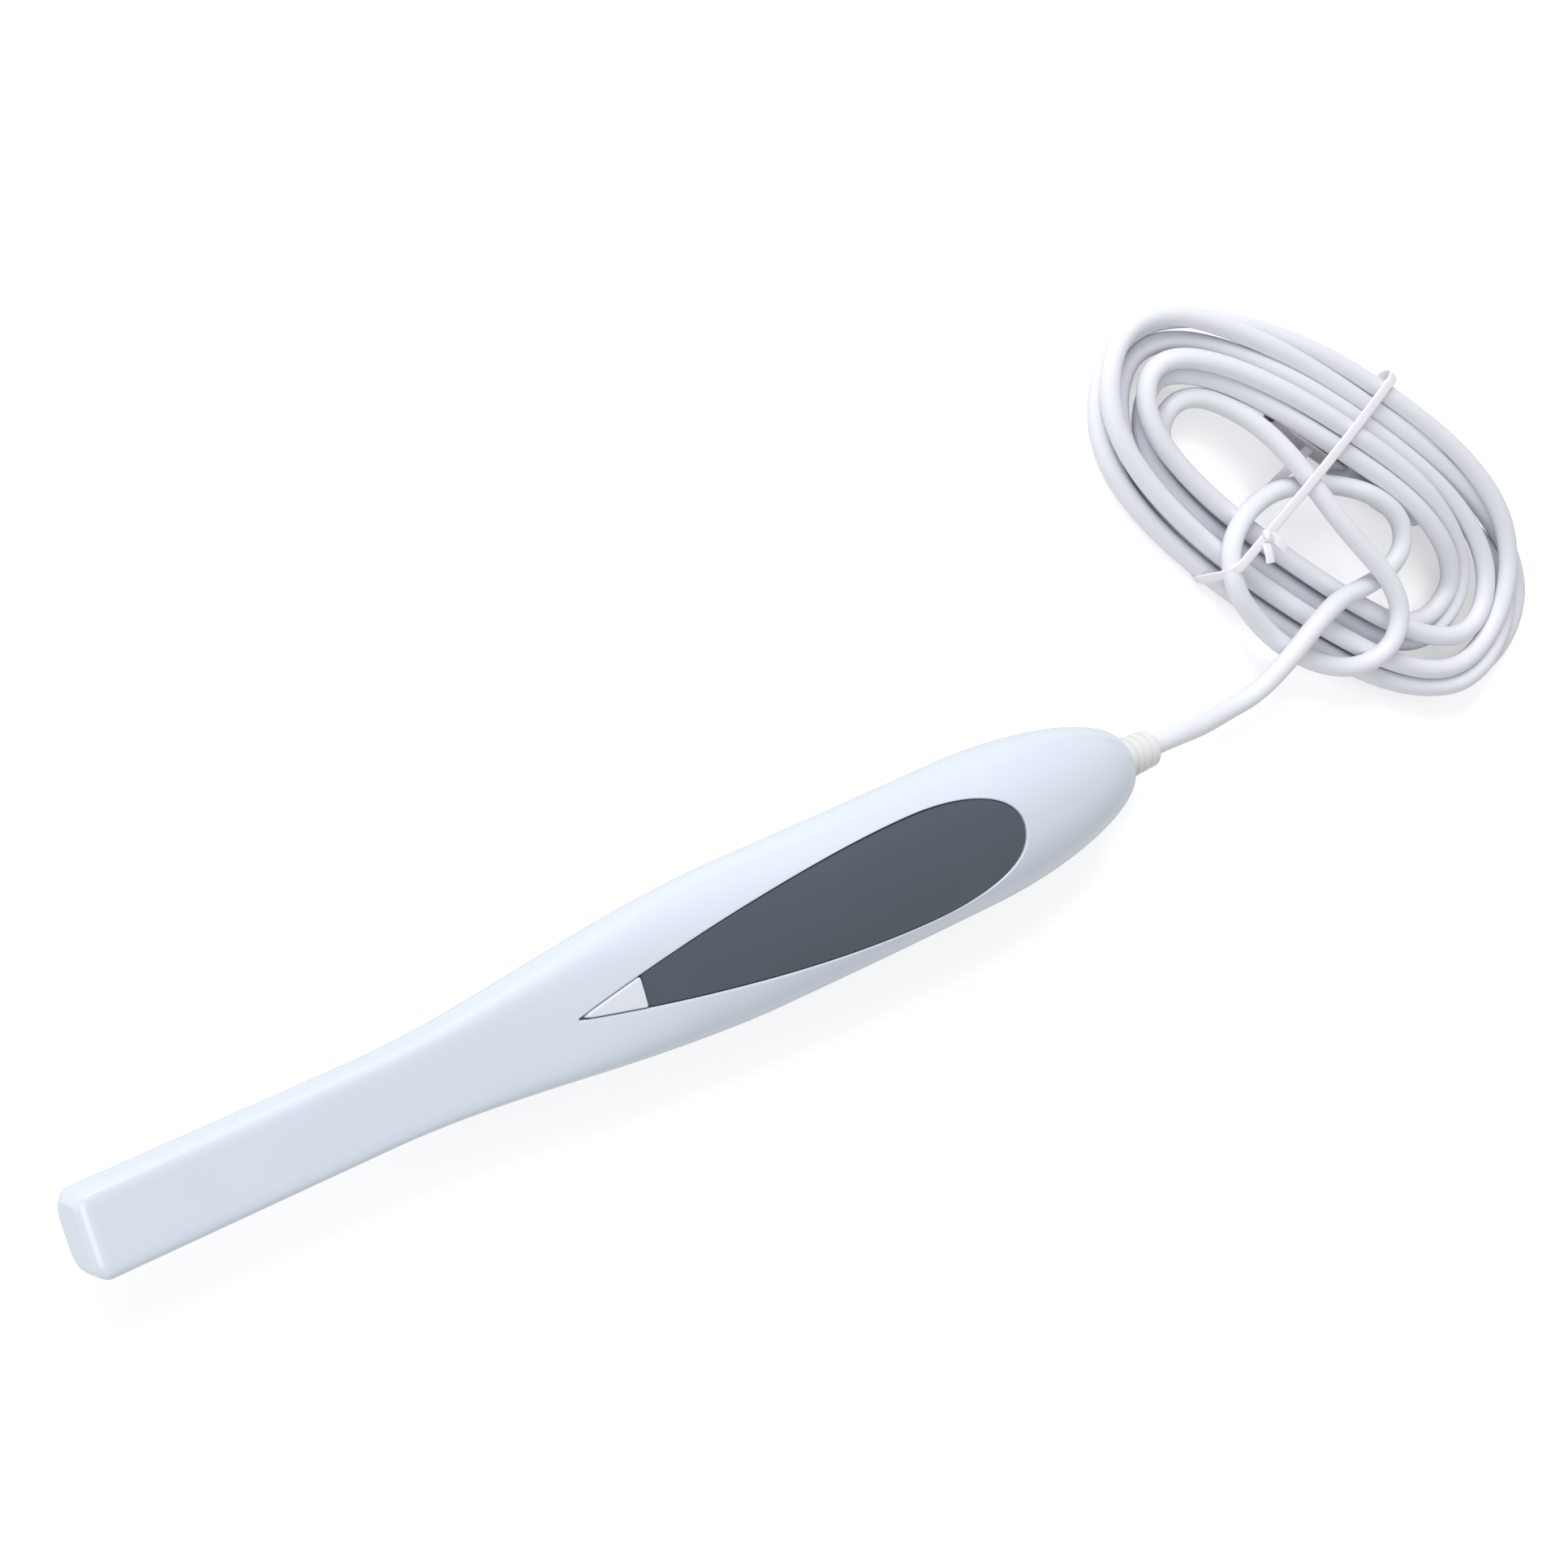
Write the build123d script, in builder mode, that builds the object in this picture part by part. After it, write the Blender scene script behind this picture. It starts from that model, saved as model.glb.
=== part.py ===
from build123d import *
import math
import os

os.makedirs("parts", exist_ok=True)

# Intraoral camera, lying on its belly. X runs from the tip to the cable, Z is up, the table is Z = 0.

# Housing outline
LENGTH = 198.0
NECK_WIDTH = 13.2
GRIP_WIDTH = 25.5
NECK_TOP = 15.0
NECK_BOTTOM = 5.0
NECK_MIDDLE = 10.0
GRIP_TOP = 20.0
GRIP_MIDDLE = 10.8
TAIL_MIDDLE = 8.0
TAIL_RADIUS = 4.4
NECK_LENGTH = 47.0
FLARE_LENGTH = 70.0
TAIL_LENGTH = 36.5
TIP_ROUNDING = 2.0
NOSE_DRAW = 0.75
NOSE_STEPS = (0.12, 0.3, 0.55, 0.8, 1.1, 1.6, 2.6, 4.5, 8)
TIP_X = -LENGTH / 2
TAIL_X = LENGTH / 2
FLARE_START = TIP_X + NECK_LENGTH
FLARE_END = FLARE_START + FLARE_LENGTH
TAIL_START = TAIL_X - TAIL_LENGTH

# Section character: a high power is a square corner, 2 is an ellipse
NECK_TOP_POWER = 8.0
GRIP_TOP_POWER = 2.2
NECK_BOTTOM_POWER = 3.0
GRIP_BOTTOM_POWER = 2.3
TAIL_POWER = 2.0
TAIL_BLUNTNESS = 0.62
SECTION_POINTS = 40
CORNER_CROWDING = 0.14
CROWN_START = FLARE_START + 22.0
CROWN_END = FLARE_END + 37.0
BELLY_END = FLARE_END - 18.0
OVAL_START = FLARE_START + 2.0
OVAL_END = FLARE_END - 8.0

# Walls
WALL = 1.4
RECESS_FLOOR = 1.35
NOSE_WALL = 2.6
TAIL_WALL = 5.0
SEAM_Z = 6.6
SLIP = 0.1

# Inlay and button
BUTTON_START = 81.5
BUTTON_LENGTH = 11.6
INLAY_END = 31.0
INLAY_WIDTH = 17.2
INLAY_SUNK = 0.35
INLAY_THICK = 1.2
BUTTON_GAP = 0.22
BUTTON_TRAVEL = 0.5
FLANGE_REACH = 0.6
FLANGE_THICK = 0.8
POCKET_CEILING = 13.4
FLANGE_GAP = 0.2
FLANGE_ROOM = 0.4
POCKET_DEPTH = 4.0
ROOF_DROP_START = 24.0
ROOF_DROP_END = 4.0
LEAF_TIP_X = TIP_X + BUTTON_START
LEAF_END_X = TAIL_X - INLAY_END
LEAF_SPLIT_X = LEAF_TIP_X + BUTTON_LENGTH
LEAF_ROUND = 20.0
LEAF_WIDE_X = LEAF_END_X - LEAF_ROUND
LEAF_EASE = 0.305
LEAF_SWELL = 4.7
LEAF_BLUNTNESS = 0.756

# Main board and what stands on it
BOARD_TOP = 10.0
BOARD_THICK = 1.0
BOARD_WIDTH = 12.0
BOARD_START = 77.0
BOARD_END = 27.0
BOARD_START_X = TIP_X + BOARD_START
BOARD_END_X = TAIL_X - BOARD_END
BOARD_BOTTOM = BOARD_TOP - BOARD_THICK

# Screws
CASE_POST_FRONT = 106.0
CASE_POST_REAR = 40.0
CASE_POST_XS = [TIP_X + CASE_POST_FRONT, TAIL_X - CASE_POST_REAR]
POST_ROOT_Z = WALL * 0.7
CASE_POST_RADIUS = 2.3
CASE_SHOULDER_RADIUS = 3.4
CASE_BOSS_RADIUS = 3.2
CASE_BOSS_THICK = 1.8
CASE_SCREW_RADIUS = 0.9
CASE_HEAD_RADIUS = 1.7
CASE_HEAD_HEIGHT = 1.0
CASE_SCREW_LENGTH = 7.0
CASE_HEAD_ROOM = 0.35
BOARD_SCREW_RADIUS = 0.7
BOARD_HEAD_RADIUS = 1.2
BOARD_HEAD_HEIGHT = 0.8
BOARD_SCREW_LENGTH = 4.0
BOARD_POST_RADIUS = 1.6
BOARD_SCREW_Y = 4.2
BOARD_SCREW_XS = [BOARD_START_X + 17.0, BOARD_END_X - 3.0]
SCREW_CLEARANCE = 0.06
HEAD_EASE = 0.3
SLOT_REACH = 0.6
SLOT_WIDTH = 0.15
BOARD_SCREW_SPOTS = [(x, side * BOARD_SCREW_Y) for x in BOARD_SCREW_XS for side in (-1, 1)]

# Tact switch under the button
SWITCH_SIZE = 4.6
SWITCH_HEIGHT = 1.0
SWITCH_X = LEAF_TIP_X + 7.6
PLUNGER_RADIUS = 0.9
PLUNGER_CLEARANCE = 0.2
PLUNGER_DROP = 0.3
PLUNGER_STANDS = 0.6

# Optics, looking down through the underside of the tip
OPTICS_X = TIP_X + 11.0
WINDOW_RADIUS = 4.3
WINDOW_THICK = 0.7
WINDOW_FACE_Z = 5.6
GASKET_THICK = 0.2
GASKET_WIDTH = 0.5
LEDGE_TOP_Z = 7.2
PAD_RADIUS = 5.0
LED_COUNT = 6
LED_RING_RADIUS = 2.95
LED_SIZE = 1.0
LED_HEIGHT = 0.5
LED_BOARD_SIZE = 9.6
LED_BOARD_THICK = 0.8
BARREL_RADIUS = 2.0
BARREL_WALL = 0.4
BARREL_LENGTH = 3.1
LENS_THICK = 0.7
HOLDER_SIZE = 8.0
HOLDER_HEIGHT = 3.0
SENSOR_LENGTH = 4.6
SENSOR_WIDTH = 4.0
SENSOR_THICK = 0.8
SENSOR_BOARD_LENGTH = 13.0
SENSOR_BOARD_WIDTH = 8.6
SENSOR_BOARD_THICK = 0.8
sensor_board_z = LEDGE_TOP_Z + LED_BOARD_THICK + HOLDER_HEIGHT

# Flat ribbon from the sensor board to the main board
RIBBON_WIDTH = 5.0
RIBBON_THICK = 0.25
RIBBON_BEND = 3.0
FFC_LENGTH = 4.0
FFC_HEIGHT = 1.3
RIBBON_END_X = BOARD_START_X + 1.5
RIBBON_END_Z = BOARD_TOP + 0.6
RIBBON_START_X = OPTICS_X - HOLDER_SIZE / 2 + SENSOR_BOARD_LENGTH - 2.5
RIBBON_START_Z = sensor_board_z + SENSOR_BOARD_THICK + RIBBON_THICK / 2

# Parts on the main board
CHIP_SIDE = 7.0
CHIP_HEIGHT = 0.9
CHIP_GAP = 0.6
CHIP_SHIFT = 1.5
CONTROLLER_X = sum(CASE_POST_XS) / 2 + CHIP_SHIFT
MEMORY_LENGTH = 5.2
MEMORY_WIDTH = 4.2
MEMORY_X = (SWITCH_X + SWITCH_SIZE / 2 + CASE_POST_XS[0] - CASE_POST_RADIUS) / 2
CRYSTAL_LENGTH = 3.2
CRYSTAL_WIDTH = 2.5
CRYSTAL_HEIGHT = 0.8
CRYSTAL_X = CONTROLLER_X - CHIP_SIDE / 2 - CHIP_GAP - CRYSTAL_LENGTH / 2
CAPACITOR_PITCH = 3.2
CAPACITOR_LENGTH = 1.6
CAPACITOR_WIDTH = 0.8
CONNECTOR_X = BOARD_END_X - 1.0
CONNECTOR_LENGTH = 5.0
CONNECTOR_WIDTH = 5.4
CONNECTOR_HEIGHT = 3.0

# Cable and strain relief
CABLE_RADIUS = 1.8
BOOT_RADIUS = 3.7
BOOT_END_RADIUS = 3.25
BOOT_LENGTH = 7.6
BOOT_FLANGE_RADIUS = 4.2
BOOT_FLANGE_THICK = 1.6
BOOT_RIBS = 4
GROOVE_WIDTH = 0.5
GROOVE_DEPTH = 0.45
CLAMP_X = TAIL_X - 13.0
CLAMP_LENGTH = 4.0
CLAMP_WIDTH = 12.4
CLAMP_TOP = 2.6
CLAMP_SCREW_Y = 4.1
CLAMP_SCREW_SHORT = 0.5
CABLE_STRIP_X = CLAMP_X - 4.0
CABLE_EXIT_X = TAIL_X + BOOT_LENGTH
CLAMP_SCREW_SPOTS = [(CLAMP_X, side * CLAMP_SCREW_Y) for side in (-1, 1)]
WIRE_COUNT = 4
WIRE_RADIUS = 0.45
WIRE_BEND = 2.0

# Coil of cable on the table, and its tie
COIL_CENTRE = (164.8, 26.5)
COIL_ANGLE = -43.6
COIL_LENGTH = 114.0
COIL_WIDTH = 45.0
COIL_HEIGHT = 14.0
COIL_HOLE_LENGTH = 66.0
COIL_HOLE_WIDTH = 9.0
COIL_HOLE_SHIFT = -2.0
TIE_WIDTH = 1.4
TIE_THICK = 0.5
TIE_U = -12.0
TIE_SLANT = 20.0

# Plug, lying under the far side of the coil
PLUG_U = 20.0
PLUG_V = 12.0
PLUG_HOUSING_LENGTH = 21.0
PLUG_HOUSING_WIDTH = 13.6
PLUG_HOUSING_HEIGHT = 6.6
PLUG_SHELL_LENGTH = 18.7
PLUG_SHELL_WIDTH = 12.0
PLUG_SHELL_HEIGHT = 4.5
PLUG_SHELL_WALL = 0.3
PLUG_TONGUE_WIDTH = 10.6
PLUG_TONGUE_HEIGHT = 1.9
PLUG_TONGUE_SETBACK = 1.0
PLUG_EASE = 0.8


def blend(x, start, end):
    """Smooth step from 0 before start to 1 after end."""
    t = min(max((x - start) / (end - start), 0.0), 1.0)
    return t * t * (3 - 2 * t)


def tail_share(x):
    """1 along the body, falling to 0 at the end of the tail as a blunt quarter oval."""
    t = min(max((x - TAIL_START) / TAIL_LENGTH, 0.0), 1.0)
    return (1 - t * t) ** TAIL_BLUNTNESS


def taper(x, size):
    """A distance from the axis, drawn in to the tail's end radius."""
    return TAIL_RADIUS + (size - TAIL_RADIUS) * tail_share(x)


def nose_inset(x):
    """How far the rounded edge of the nose draws the section in at x: a parabola."""
    short = max(1 - (x - TIP_X) / TIP_ROUNDING, 0.0)
    return TIP_ROUNDING * NOSE_DRAW * short ** 2


def middle_z(x):
    """Height of the widest level of the section at x."""
    rise = (GRIP_MIDDLE - NECK_MIDDLE) * blend(x, FLARE_START, FLARE_END)
    fall = (GRIP_MIDDLE - TAIL_MIDDLE) * blend(x, FLARE_END, TAIL_X)
    return NECK_MIDDLE + rise - fall


def half_width(x):
    """Half the width of the section at x."""
    body = NECK_WIDTH + (GRIP_WIDTH - NECK_WIDTH) * blend(x, FLARE_START, FLARE_END)
    return taper(x, body / 2)


def top_height(x):
    """Height of the crown above the widest level at x."""
    crown = NECK_TOP + (GRIP_TOP - NECK_TOP) * blend(x, CROWN_START, CROWN_END)
    return taper(x, crown - middle_z(x))


def bottom_depth(x):
    """Depth of the belly below the widest level at x."""
    belly = NECK_BOTTOM * (1 - blend(x, FLARE_START, BELLY_END))
    return taper(x, middle_z(x) - belly)


def screw_seat(x):
    """Height at x that a case screw's head stands on, just clear of the inlay above it."""
    inlay_back = middle_z(x) + top_height(x) - INLAY_SUNK - INLAY_THICK
    return inlay_back - CASE_HEAD_ROOM - CASE_HEAD_HEIGHT


def section(x, side_inset=0.0, top_inset=0.0):
    """Closed outline of the housing at x: two half superellipses, square in the neck, oval in the grip."""
    oval = blend(x, OVAL_START, OVAL_END)
    share = tail_share(x)
    top_power = NECK_TOP_POWER + (GRIP_TOP_POWER - NECK_TOP_POWER) * oval
    top_power = TAIL_POWER + (top_power - TAIL_POWER) * share
    bottom_power = NECK_BOTTOM_POWER + (GRIP_BOTTOM_POWER - NECK_BOTTOM_POWER) * oval
    bottom_power = TAIL_POWER + (bottom_power - TAIL_POWER) * share
    points = []
    for i in range(SECTION_POINTS):
        even = 2 * math.pi * i / SECTION_POINTS
        turn = even + CORNER_CROWDING * math.sin(4 * even)
        across, up = math.cos(turn), math.sin(turn)
        power = top_power if i < SECTION_POINTS / 2 else bottom_power
        reach = top_height(x) - top_inset if i < SECTION_POINTS / 2 else bottom_depth(x) - side_inset
        swell = (abs(across) ** power + abs(up) ** power) ** (-1 / power)
        y = across * swell * (half_width(x) - side_inset - nose_inset(x))
        z = up * swell * (reach - nose_inset(x)) + middle_z(x)
        points.append((y, z))
    knots = [i / SECTION_POINTS for i in range(SECTION_POINTS + 1)]
    with BuildSketch(Plane.YZ.offset(x)) as outline:
        with BuildLine():
            add(Edge.make_spline(points, periodic=True, parameters=knots))
        make_face()
    return outline.sketch


def housing(start_x, end_x, side_inset=0.0, top_inset=None):
    """Solid of the housing's outside, or of a surface lying the given depths below it."""
    if top_inset is None:
        top_inset = lambda x: side_inset
    nose = [TIP_X + TIP_ROUNDING * share for share in NOSE_STEPS]
    stations = [start_x] + [x for x in nose if x > start_x + TIP_ROUNDING * 0.1]
    stations += [TIP_X + NECK_LENGTH * 0.6]
    stations += [FLARE_START + FLARE_LENGTH * i / 9 for i in range(-1, 10)]
    stations += [(FLARE_END * (3 - i) + TAIL_START * i) / 3 for i in (1, 2)]
    end_turn = math.asin((end_x - TAIL_START) / TAIL_LENGTH)
    stations += [TAIL_START + TAIL_LENGTH * math.sin(end_turn * i / 8) for i in range(9)]
    return loft([section(x, side_inset, top_inset(x)) for x in stations])


def grip_roof(x):
    """Depth of the cavity's roof: a thin wall in the neck, room for the inlay's recess in the grip."""
    recess = INLAY_SUNK + INLAY_THICK + RECESS_FLOOR - WALL
    return WALL + recess * blend(x, LEAF_TIP_X - ROOF_DROP_START, LEAF_TIP_X - ROOF_DROP_END)


def leaf(grow=0.0):
    """Plan outline shared by the button and the inlay, grown evenly: a long point, a round end."""
    half = INLAY_WIDTH / 2 + grow
    reach = (LEAF_WIDE_X - LEAF_TIP_X) * LEAF_EASE
    slope = math.atan2(LEAF_SWELL, reach)
    back, out = grow * math.sin(slope), grow * math.cos(slope)
    end_x = LEAF_END_X + grow
    with BuildSketch(Plane.XY) as outline:
        with BuildLine():
            if grow:
                CenterArc((LEAF_TIP_X, 0), grow, 90 + math.degrees(slope), 90 - math.degrees(slope))
            Bezier((LEAF_TIP_X - back, out), (LEAF_TIP_X + reach - back, LEAF_SWELL + out),
                   (LEAF_WIDE_X - reach, half), (LEAF_WIDE_X, half))
            Bezier((LEAF_WIDE_X, half), (LEAF_WIDE_X + LEAF_ROUND / 2, half),
                   (end_x, half * LEAF_BLUNTNESS), (end_x, 0))
            mirror(about=Plane.XZ)
        make_face()
    return outline.sketch


def leaf_front(grow=0.0, split_x=LEAF_SPLIT_X):
    """The leaf's point, cut off square at split_x: the button's plan outline."""
    with BuildSketch(Plane.XY) as outline:
        add(leaf(grow))
        with Locations((split_x, 0)):
            Rectangle(LENGTH, GRIP_WIDTH, align=(Align.MIN, Align.CENTER), mode=Mode.SUBTRACT)
    return outline.sketch


def leaf_rear(grow=0.0):
    """The leaf behind the button: the inlay's plan outline."""
    with BuildSketch(Plane.XY) as outline:
        add(leaf(grow))
        with Locations((LEAF_SPLIT_X, 0)):
            Rectangle(LENGTH, GRIP_WIDTH, align=(Align.MAX, Align.CENTER), mode=Mode.SUBTRACT)
    return outline.sketch


def save(builder, name):
    """Label a finished piece and write it."""
    builder.part.label = name
    export_step(builder.part, f"parts/{name}.step")


# Surfaces that several pieces share
outside = housing(TIP_X, TAIL_X)
sunk_face = housing(TIP_X + NOSE_WALL, TAIL_X - TAIL_WALL, INLAY_SUNK)
recess_floor = housing(TIP_X + NOSE_WALL, TAIL_X - TAIL_WALL, INLAY_SUNK + INLAY_THICK)
cavity = housing(TIP_X + NOSE_WALL, TAIL_X - TAIL_WALL, WALL, grip_roof)
HIGH = GRIP_TOP + 5

# Rounded solid of the whole housing, with the cable hole in its tail
with BuildPart() as body:
    add(outside)
    with BuildSketch(Plane.YZ.offset(TAIL_X - TAIL_WALL - 1)):
        with Locations((0, TAIL_MIDDLE)):
            Circle(BOOT_RADIUS + SLIP)
    extrude(amount=TAIL_WALL + 2, mode=Mode.SUBTRACT)

# Half-space below the seam, behind the nose wall
with BuildPart() as lower_space:
    with BuildSketch(Plane.XY.offset(-1)):
        with Locations((TIP_X + NOSE_WALL, 0)):
            Rectangle(LENGTH, 2 * GRIP_WIDTH, align=(Align.MIN, Align.CENTER))
    extrude(amount=SEAM_Z + 1)

# Top shell: the upper half of the housing and the whole nose
with BuildPart() as top_shell:
    add(body.part)
    add(cavity, mode=Mode.SUBTRACT)
    add(lower_space.part, mode=Mode.SUBTRACT)
    # Bosses that the case screws clamp
    for x in CASE_POST_XS:
        with BuildSketch(Plane.XY.offset(screw_seat(x) - CASE_BOSS_THICK)):
            with Locations((x, 0)):
                Circle(CASE_BOSS_RADIUS)
        extrude(until=Until.NEXT)
    # Recess for the inlay, down to its seat
    with BuildPart(mode=Mode.PRIVATE) as recess:
        with BuildSketch(Plane.XY.offset(NECK_MIDDLE)):
            add(leaf_rear(SLIP))
        extrude(amount=HIGH)
        add(recess_floor, mode=Mode.SUBTRACT)
    add(recess.part, mode=Mode.SUBTRACT)
    # Opening for the button, and the flat pocket for its flange
    with BuildSketch(Plane.XY.offset(POCKET_CEILING - POCKET_DEPTH)):
        add(leaf_front(BUTTON_GAP))
    extrude(amount=HIGH, mode=Mode.SUBTRACT)
    with BuildSketch(Plane.XY.offset(POCKET_CEILING)):
        add(leaf_front(FLANGE_REACH + FLANGE_ROOM, LEAF_SPLIT_X + FLANGE_REACH + FLANGE_ROOM))
    extrude(amount=-POCKET_DEPTH, mode=Mode.SUBTRACT)
    # Bay for the window's pad and the ring board
    with BuildSketch(Plane.XY.offset(SEAM_Z - SLIP)):
        with Locations((OPTICS_X, 0)):
            Rectangle(2 * (PAD_RADIUS + SLIP), 2 * (PAD_RADIUS + SLIP))
    extrude(amount=LEDGE_TOP_Z + LED_BOARD_THICK + SLIP - SEAM_Z, mode=Mode.SUBTRACT)
    # Counterbored holes for the case screws
    for x in CASE_POST_XS:
        with BuildSketch(Plane.XY.offset(screw_seat(x))):
            with Locations((x, 0)):
                Circle(CASE_HEAD_RADIUS + SLIP)
        extrude(amount=HIGH, mode=Mode.SUBTRACT)
        with BuildSketch(Plane.XY.offset(screw_seat(x) - 2 * CASE_BOSS_THICK)):
            with Locations((x, 0)):
                Circle(CASE_SCREW_RADIUS + SCREW_CLEARANCE)
        extrude(amount=HIGH, mode=Mode.SUBTRACT)
save(top_shell, "top_shell")

# Bottom shell: the lower half, with the posts, the window's ledge and the cable's saddle
with BuildPart() as bottom_shell:
    add(body.part)
    add(cavity, mode=Mode.SUBTRACT)
    add(lower_space.part, mode=Mode.INTERSECT)
    # Posts: a shoulder that carries the board, and a stem that reaches the top shell
    for x in CASE_POST_XS:
        stem_top = screw_seat(x) - CASE_BOSS_THICK
        for radius, top_z in ((CASE_SHOULDER_RADIUS, BOARD_BOTTOM), (CASE_POST_RADIUS, stem_top)):
            with BuildSketch(Plane.XY.offset(POST_ROOT_Z)):
                with Locations((x, 0)):
                    Circle(radius)
            extrude(amount=top_z - POST_ROOT_Z)
    with BuildSketch(Plane.XY.offset(POST_ROOT_Z)):
        with Locations(*BOARD_SCREW_SPOTS):
            Circle(BOARD_POST_RADIUS)
    extrude(amount=BOARD_BOTTOM - POST_ROOT_Z)
    # Pad round the window
    with BuildSketch(Plane.XY.offset(WINDOW_FACE_Z + WINDOW_THICK)):
        with Locations((OPTICS_X, 0)):
            Circle(PAD_RADIUS)
    extrude(amount=LEDGE_TOP_Z - WINDOW_FACE_Z - WINDOW_THICK)
    # Saddle under the cable
    with BuildSketch(Plane.XY.offset(TAIL_MIDDLE)):
        with Locations((CLAMP_X, 0)):
            Rectangle(CLAMP_LENGTH, CLAMP_WIDTH)
    extrude(amount=-(TAIL_MIDDLE - WALL * 1.5))
    with BuildSketch(Plane.YZ.offset(CLAMP_X - CLAMP_LENGTH)):
        with Locations((0, TAIL_MIDDLE)):
            Circle(CABLE_RADIUS)
    extrude(amount=2 * CLAMP_LENGTH, mode=Mode.SUBTRACT)
    # Window seat and light opening
    with BuildSketch(Plane.XY.offset(WINDOW_FACE_Z + WINDOW_THICK + GASKET_THICK)):
        with Locations((OPTICS_X, 0)):
            Circle(WINDOW_RADIUS + SLIP)
    extrude(amount=-HIGH, mode=Mode.SUBTRACT)
    with BuildSketch(Plane.XY.offset(LEDGE_TOP_Z + 1)):
        with Locations((OPTICS_X, 0)):
            Circle(WINDOW_RADIUS - GASKET_WIDTH)
    extrude(amount=-HIGH, mode=Mode.SUBTRACT)
    # Screw holes
    for x in CASE_POST_XS:
        with BuildSketch(Plane.XY.offset(screw_seat(x))):
            with Locations((x, 0)):
                Circle(CASE_SCREW_RADIUS + SCREW_CLEARANCE)
        extrude(amount=-CASE_SCREW_LENGTH - SLIP, mode=Mode.SUBTRACT)
    with BuildSketch(Plane.XY.offset(BOARD_BOTTOM)):
        with Locations(*BOARD_SCREW_SPOTS):
            Circle(BOARD_SCREW_RADIUS + SCREW_CLEARANCE)
    extrude(amount=-BOARD_SCREW_LENGTH, mode=Mode.SUBTRACT)
    with BuildSketch(Plane.XY.offset(TAIL_MIDDLE)):
        with Locations(*CLAMP_SCREW_SPOTS):
            Circle(BOARD_SCREW_RADIUS + SCREW_CLEARANCE)
    extrude(amount=-BOARD_SCREW_LENGTH, mode=Mode.SUBTRACT)
save(bottom_shell, "bottom_shell")

# Inlay: a thin panel that follows the crown of the grip
with BuildPart() as inlay:
    with BuildSketch(Plane.XY.offset(NECK_MIDDLE)):
        add(leaf_rear())
    extrude(amount=HIGH)
    add(sunk_face, mode=Mode.INTERSECT)
    add(recess_floor, mode=Mode.SUBTRACT)
save(inlay, "inlay")

# Capture button: its crown is flush with the shell, its flange is caught below the shell's roof
flange_top = POCKET_CEILING - FLANGE_GAP
flange_bottom = flange_top - FLANGE_THICK
plunger_top = BOARD_TOP + SWITCH_HEIGHT + PLUNGER_STANDS
with BuildPart() as capture_button:
    with BuildSketch(Plane.XY.offset(flange_bottom)):
        add(leaf_front(0, LEAF_SPLIT_X - BUTTON_GAP))
    extrude(amount=HIGH)
    add(outside, mode=Mode.INTERSECT)
    with BuildSketch(Plane.XY.offset(flange_bottom)):
        add(leaf_front(FLANGE_REACH, LEAF_SPLIT_X + FLANGE_REACH))
    extrude(amount=FLANGE_THICK)
    with BuildSketch(Plane.XY.offset(plunger_top)):
        with Locations((SWITCH_X, 0)):
            Circle(PLUNGER_RADIUS * 1.2)
    extrude(amount=flange_bottom - plunger_top)
save(capture_button, "capture_button")

# Plunger of the tact switch, which moves with the button
with BuildPart() as switch_plunger:
    with BuildSketch(Plane.XY.offset(BOARD_TOP + SWITCH_HEIGHT - PLUNGER_DROP)):
        with Locations((SWITCH_X, 0)):
            Circle(PLUNGER_RADIUS)
    extrude(amount=PLUNGER_STANDS + PLUNGER_DROP)
save(switch_plunger, "switch_plunger")

# Tact switch on the board, with the well that its plunger sinks into
with BuildPart() as tact_switch:
    with BuildSketch(Plane.XY.offset(BOARD_TOP)):
        with Locations((SWITCH_X, 0)):
            RectangleRounded(SWITCH_SIZE, SWITCH_SIZE, SWITCH_SIZE * 0.1)
    extrude(amount=SWITCH_HEIGHT)
    with Locations((SWITCH_X, 0, BOARD_TOP + SWITCH_HEIGHT)):
        Hole(PLUNGER_RADIUS + PLUNGER_CLEARANCE, depth=PLUNGER_DROP + BUTTON_TRAVEL + 0.1)
save(tact_switch, "tact_switch")

# Main board, round the case posts and under the switch, the chips and the connectors
with BuildPart() as main_board:
    with BuildSketch(Plane.XY.offset(BOARD_BOTTOM)):
        with Locations(((BOARD_START_X + BOARD_END_X) / 2, 0)):
            RectangleRounded(BOARD_END_X - BOARD_START_X, BOARD_WIDTH, 1)
        with Locations(*[(x, 0) for x in CASE_POST_XS]):
            Circle(CASE_POST_RADIUS + 2 * SLIP, mode=Mode.SUBTRACT)
        with Locations(*BOARD_SCREW_SPOTS):
            Circle(BOARD_SCREW_RADIUS + SCREW_CLEARANCE, mode=Mode.SUBTRACT)
    extrude(amount=BOARD_THICK)
save(main_board, "main_board")


def chip(name, x, length, width, height, y=0.0):
    """A flat component that stands on the main board, with softened upper edges."""
    with BuildPart() as piece:
        with Locations((x, y, BOARD_TOP)):
            Box(length, width, height, align=(Align.CENTER, Align.CENTER, Align.MIN))
        chamfer(piece.faces().sort_by(Axis.Z)[-1].edges(), min(length, width, height) * 0.12)
    save(piece, name)


chip("usb_controller_chip", CONTROLLER_X, CHIP_SIDE, CHIP_SIDE, CHIP_HEIGHT)
chip("memory_chip", MEMORY_X, MEMORY_LENGTH, MEMORY_WIDTH, CHIP_HEIGHT)
chip("crystal_can", CRYSTAL_X, CRYSTAL_LENGTH, CRYSTAL_WIDTH, CRYSTAL_HEIGHT)

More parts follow.
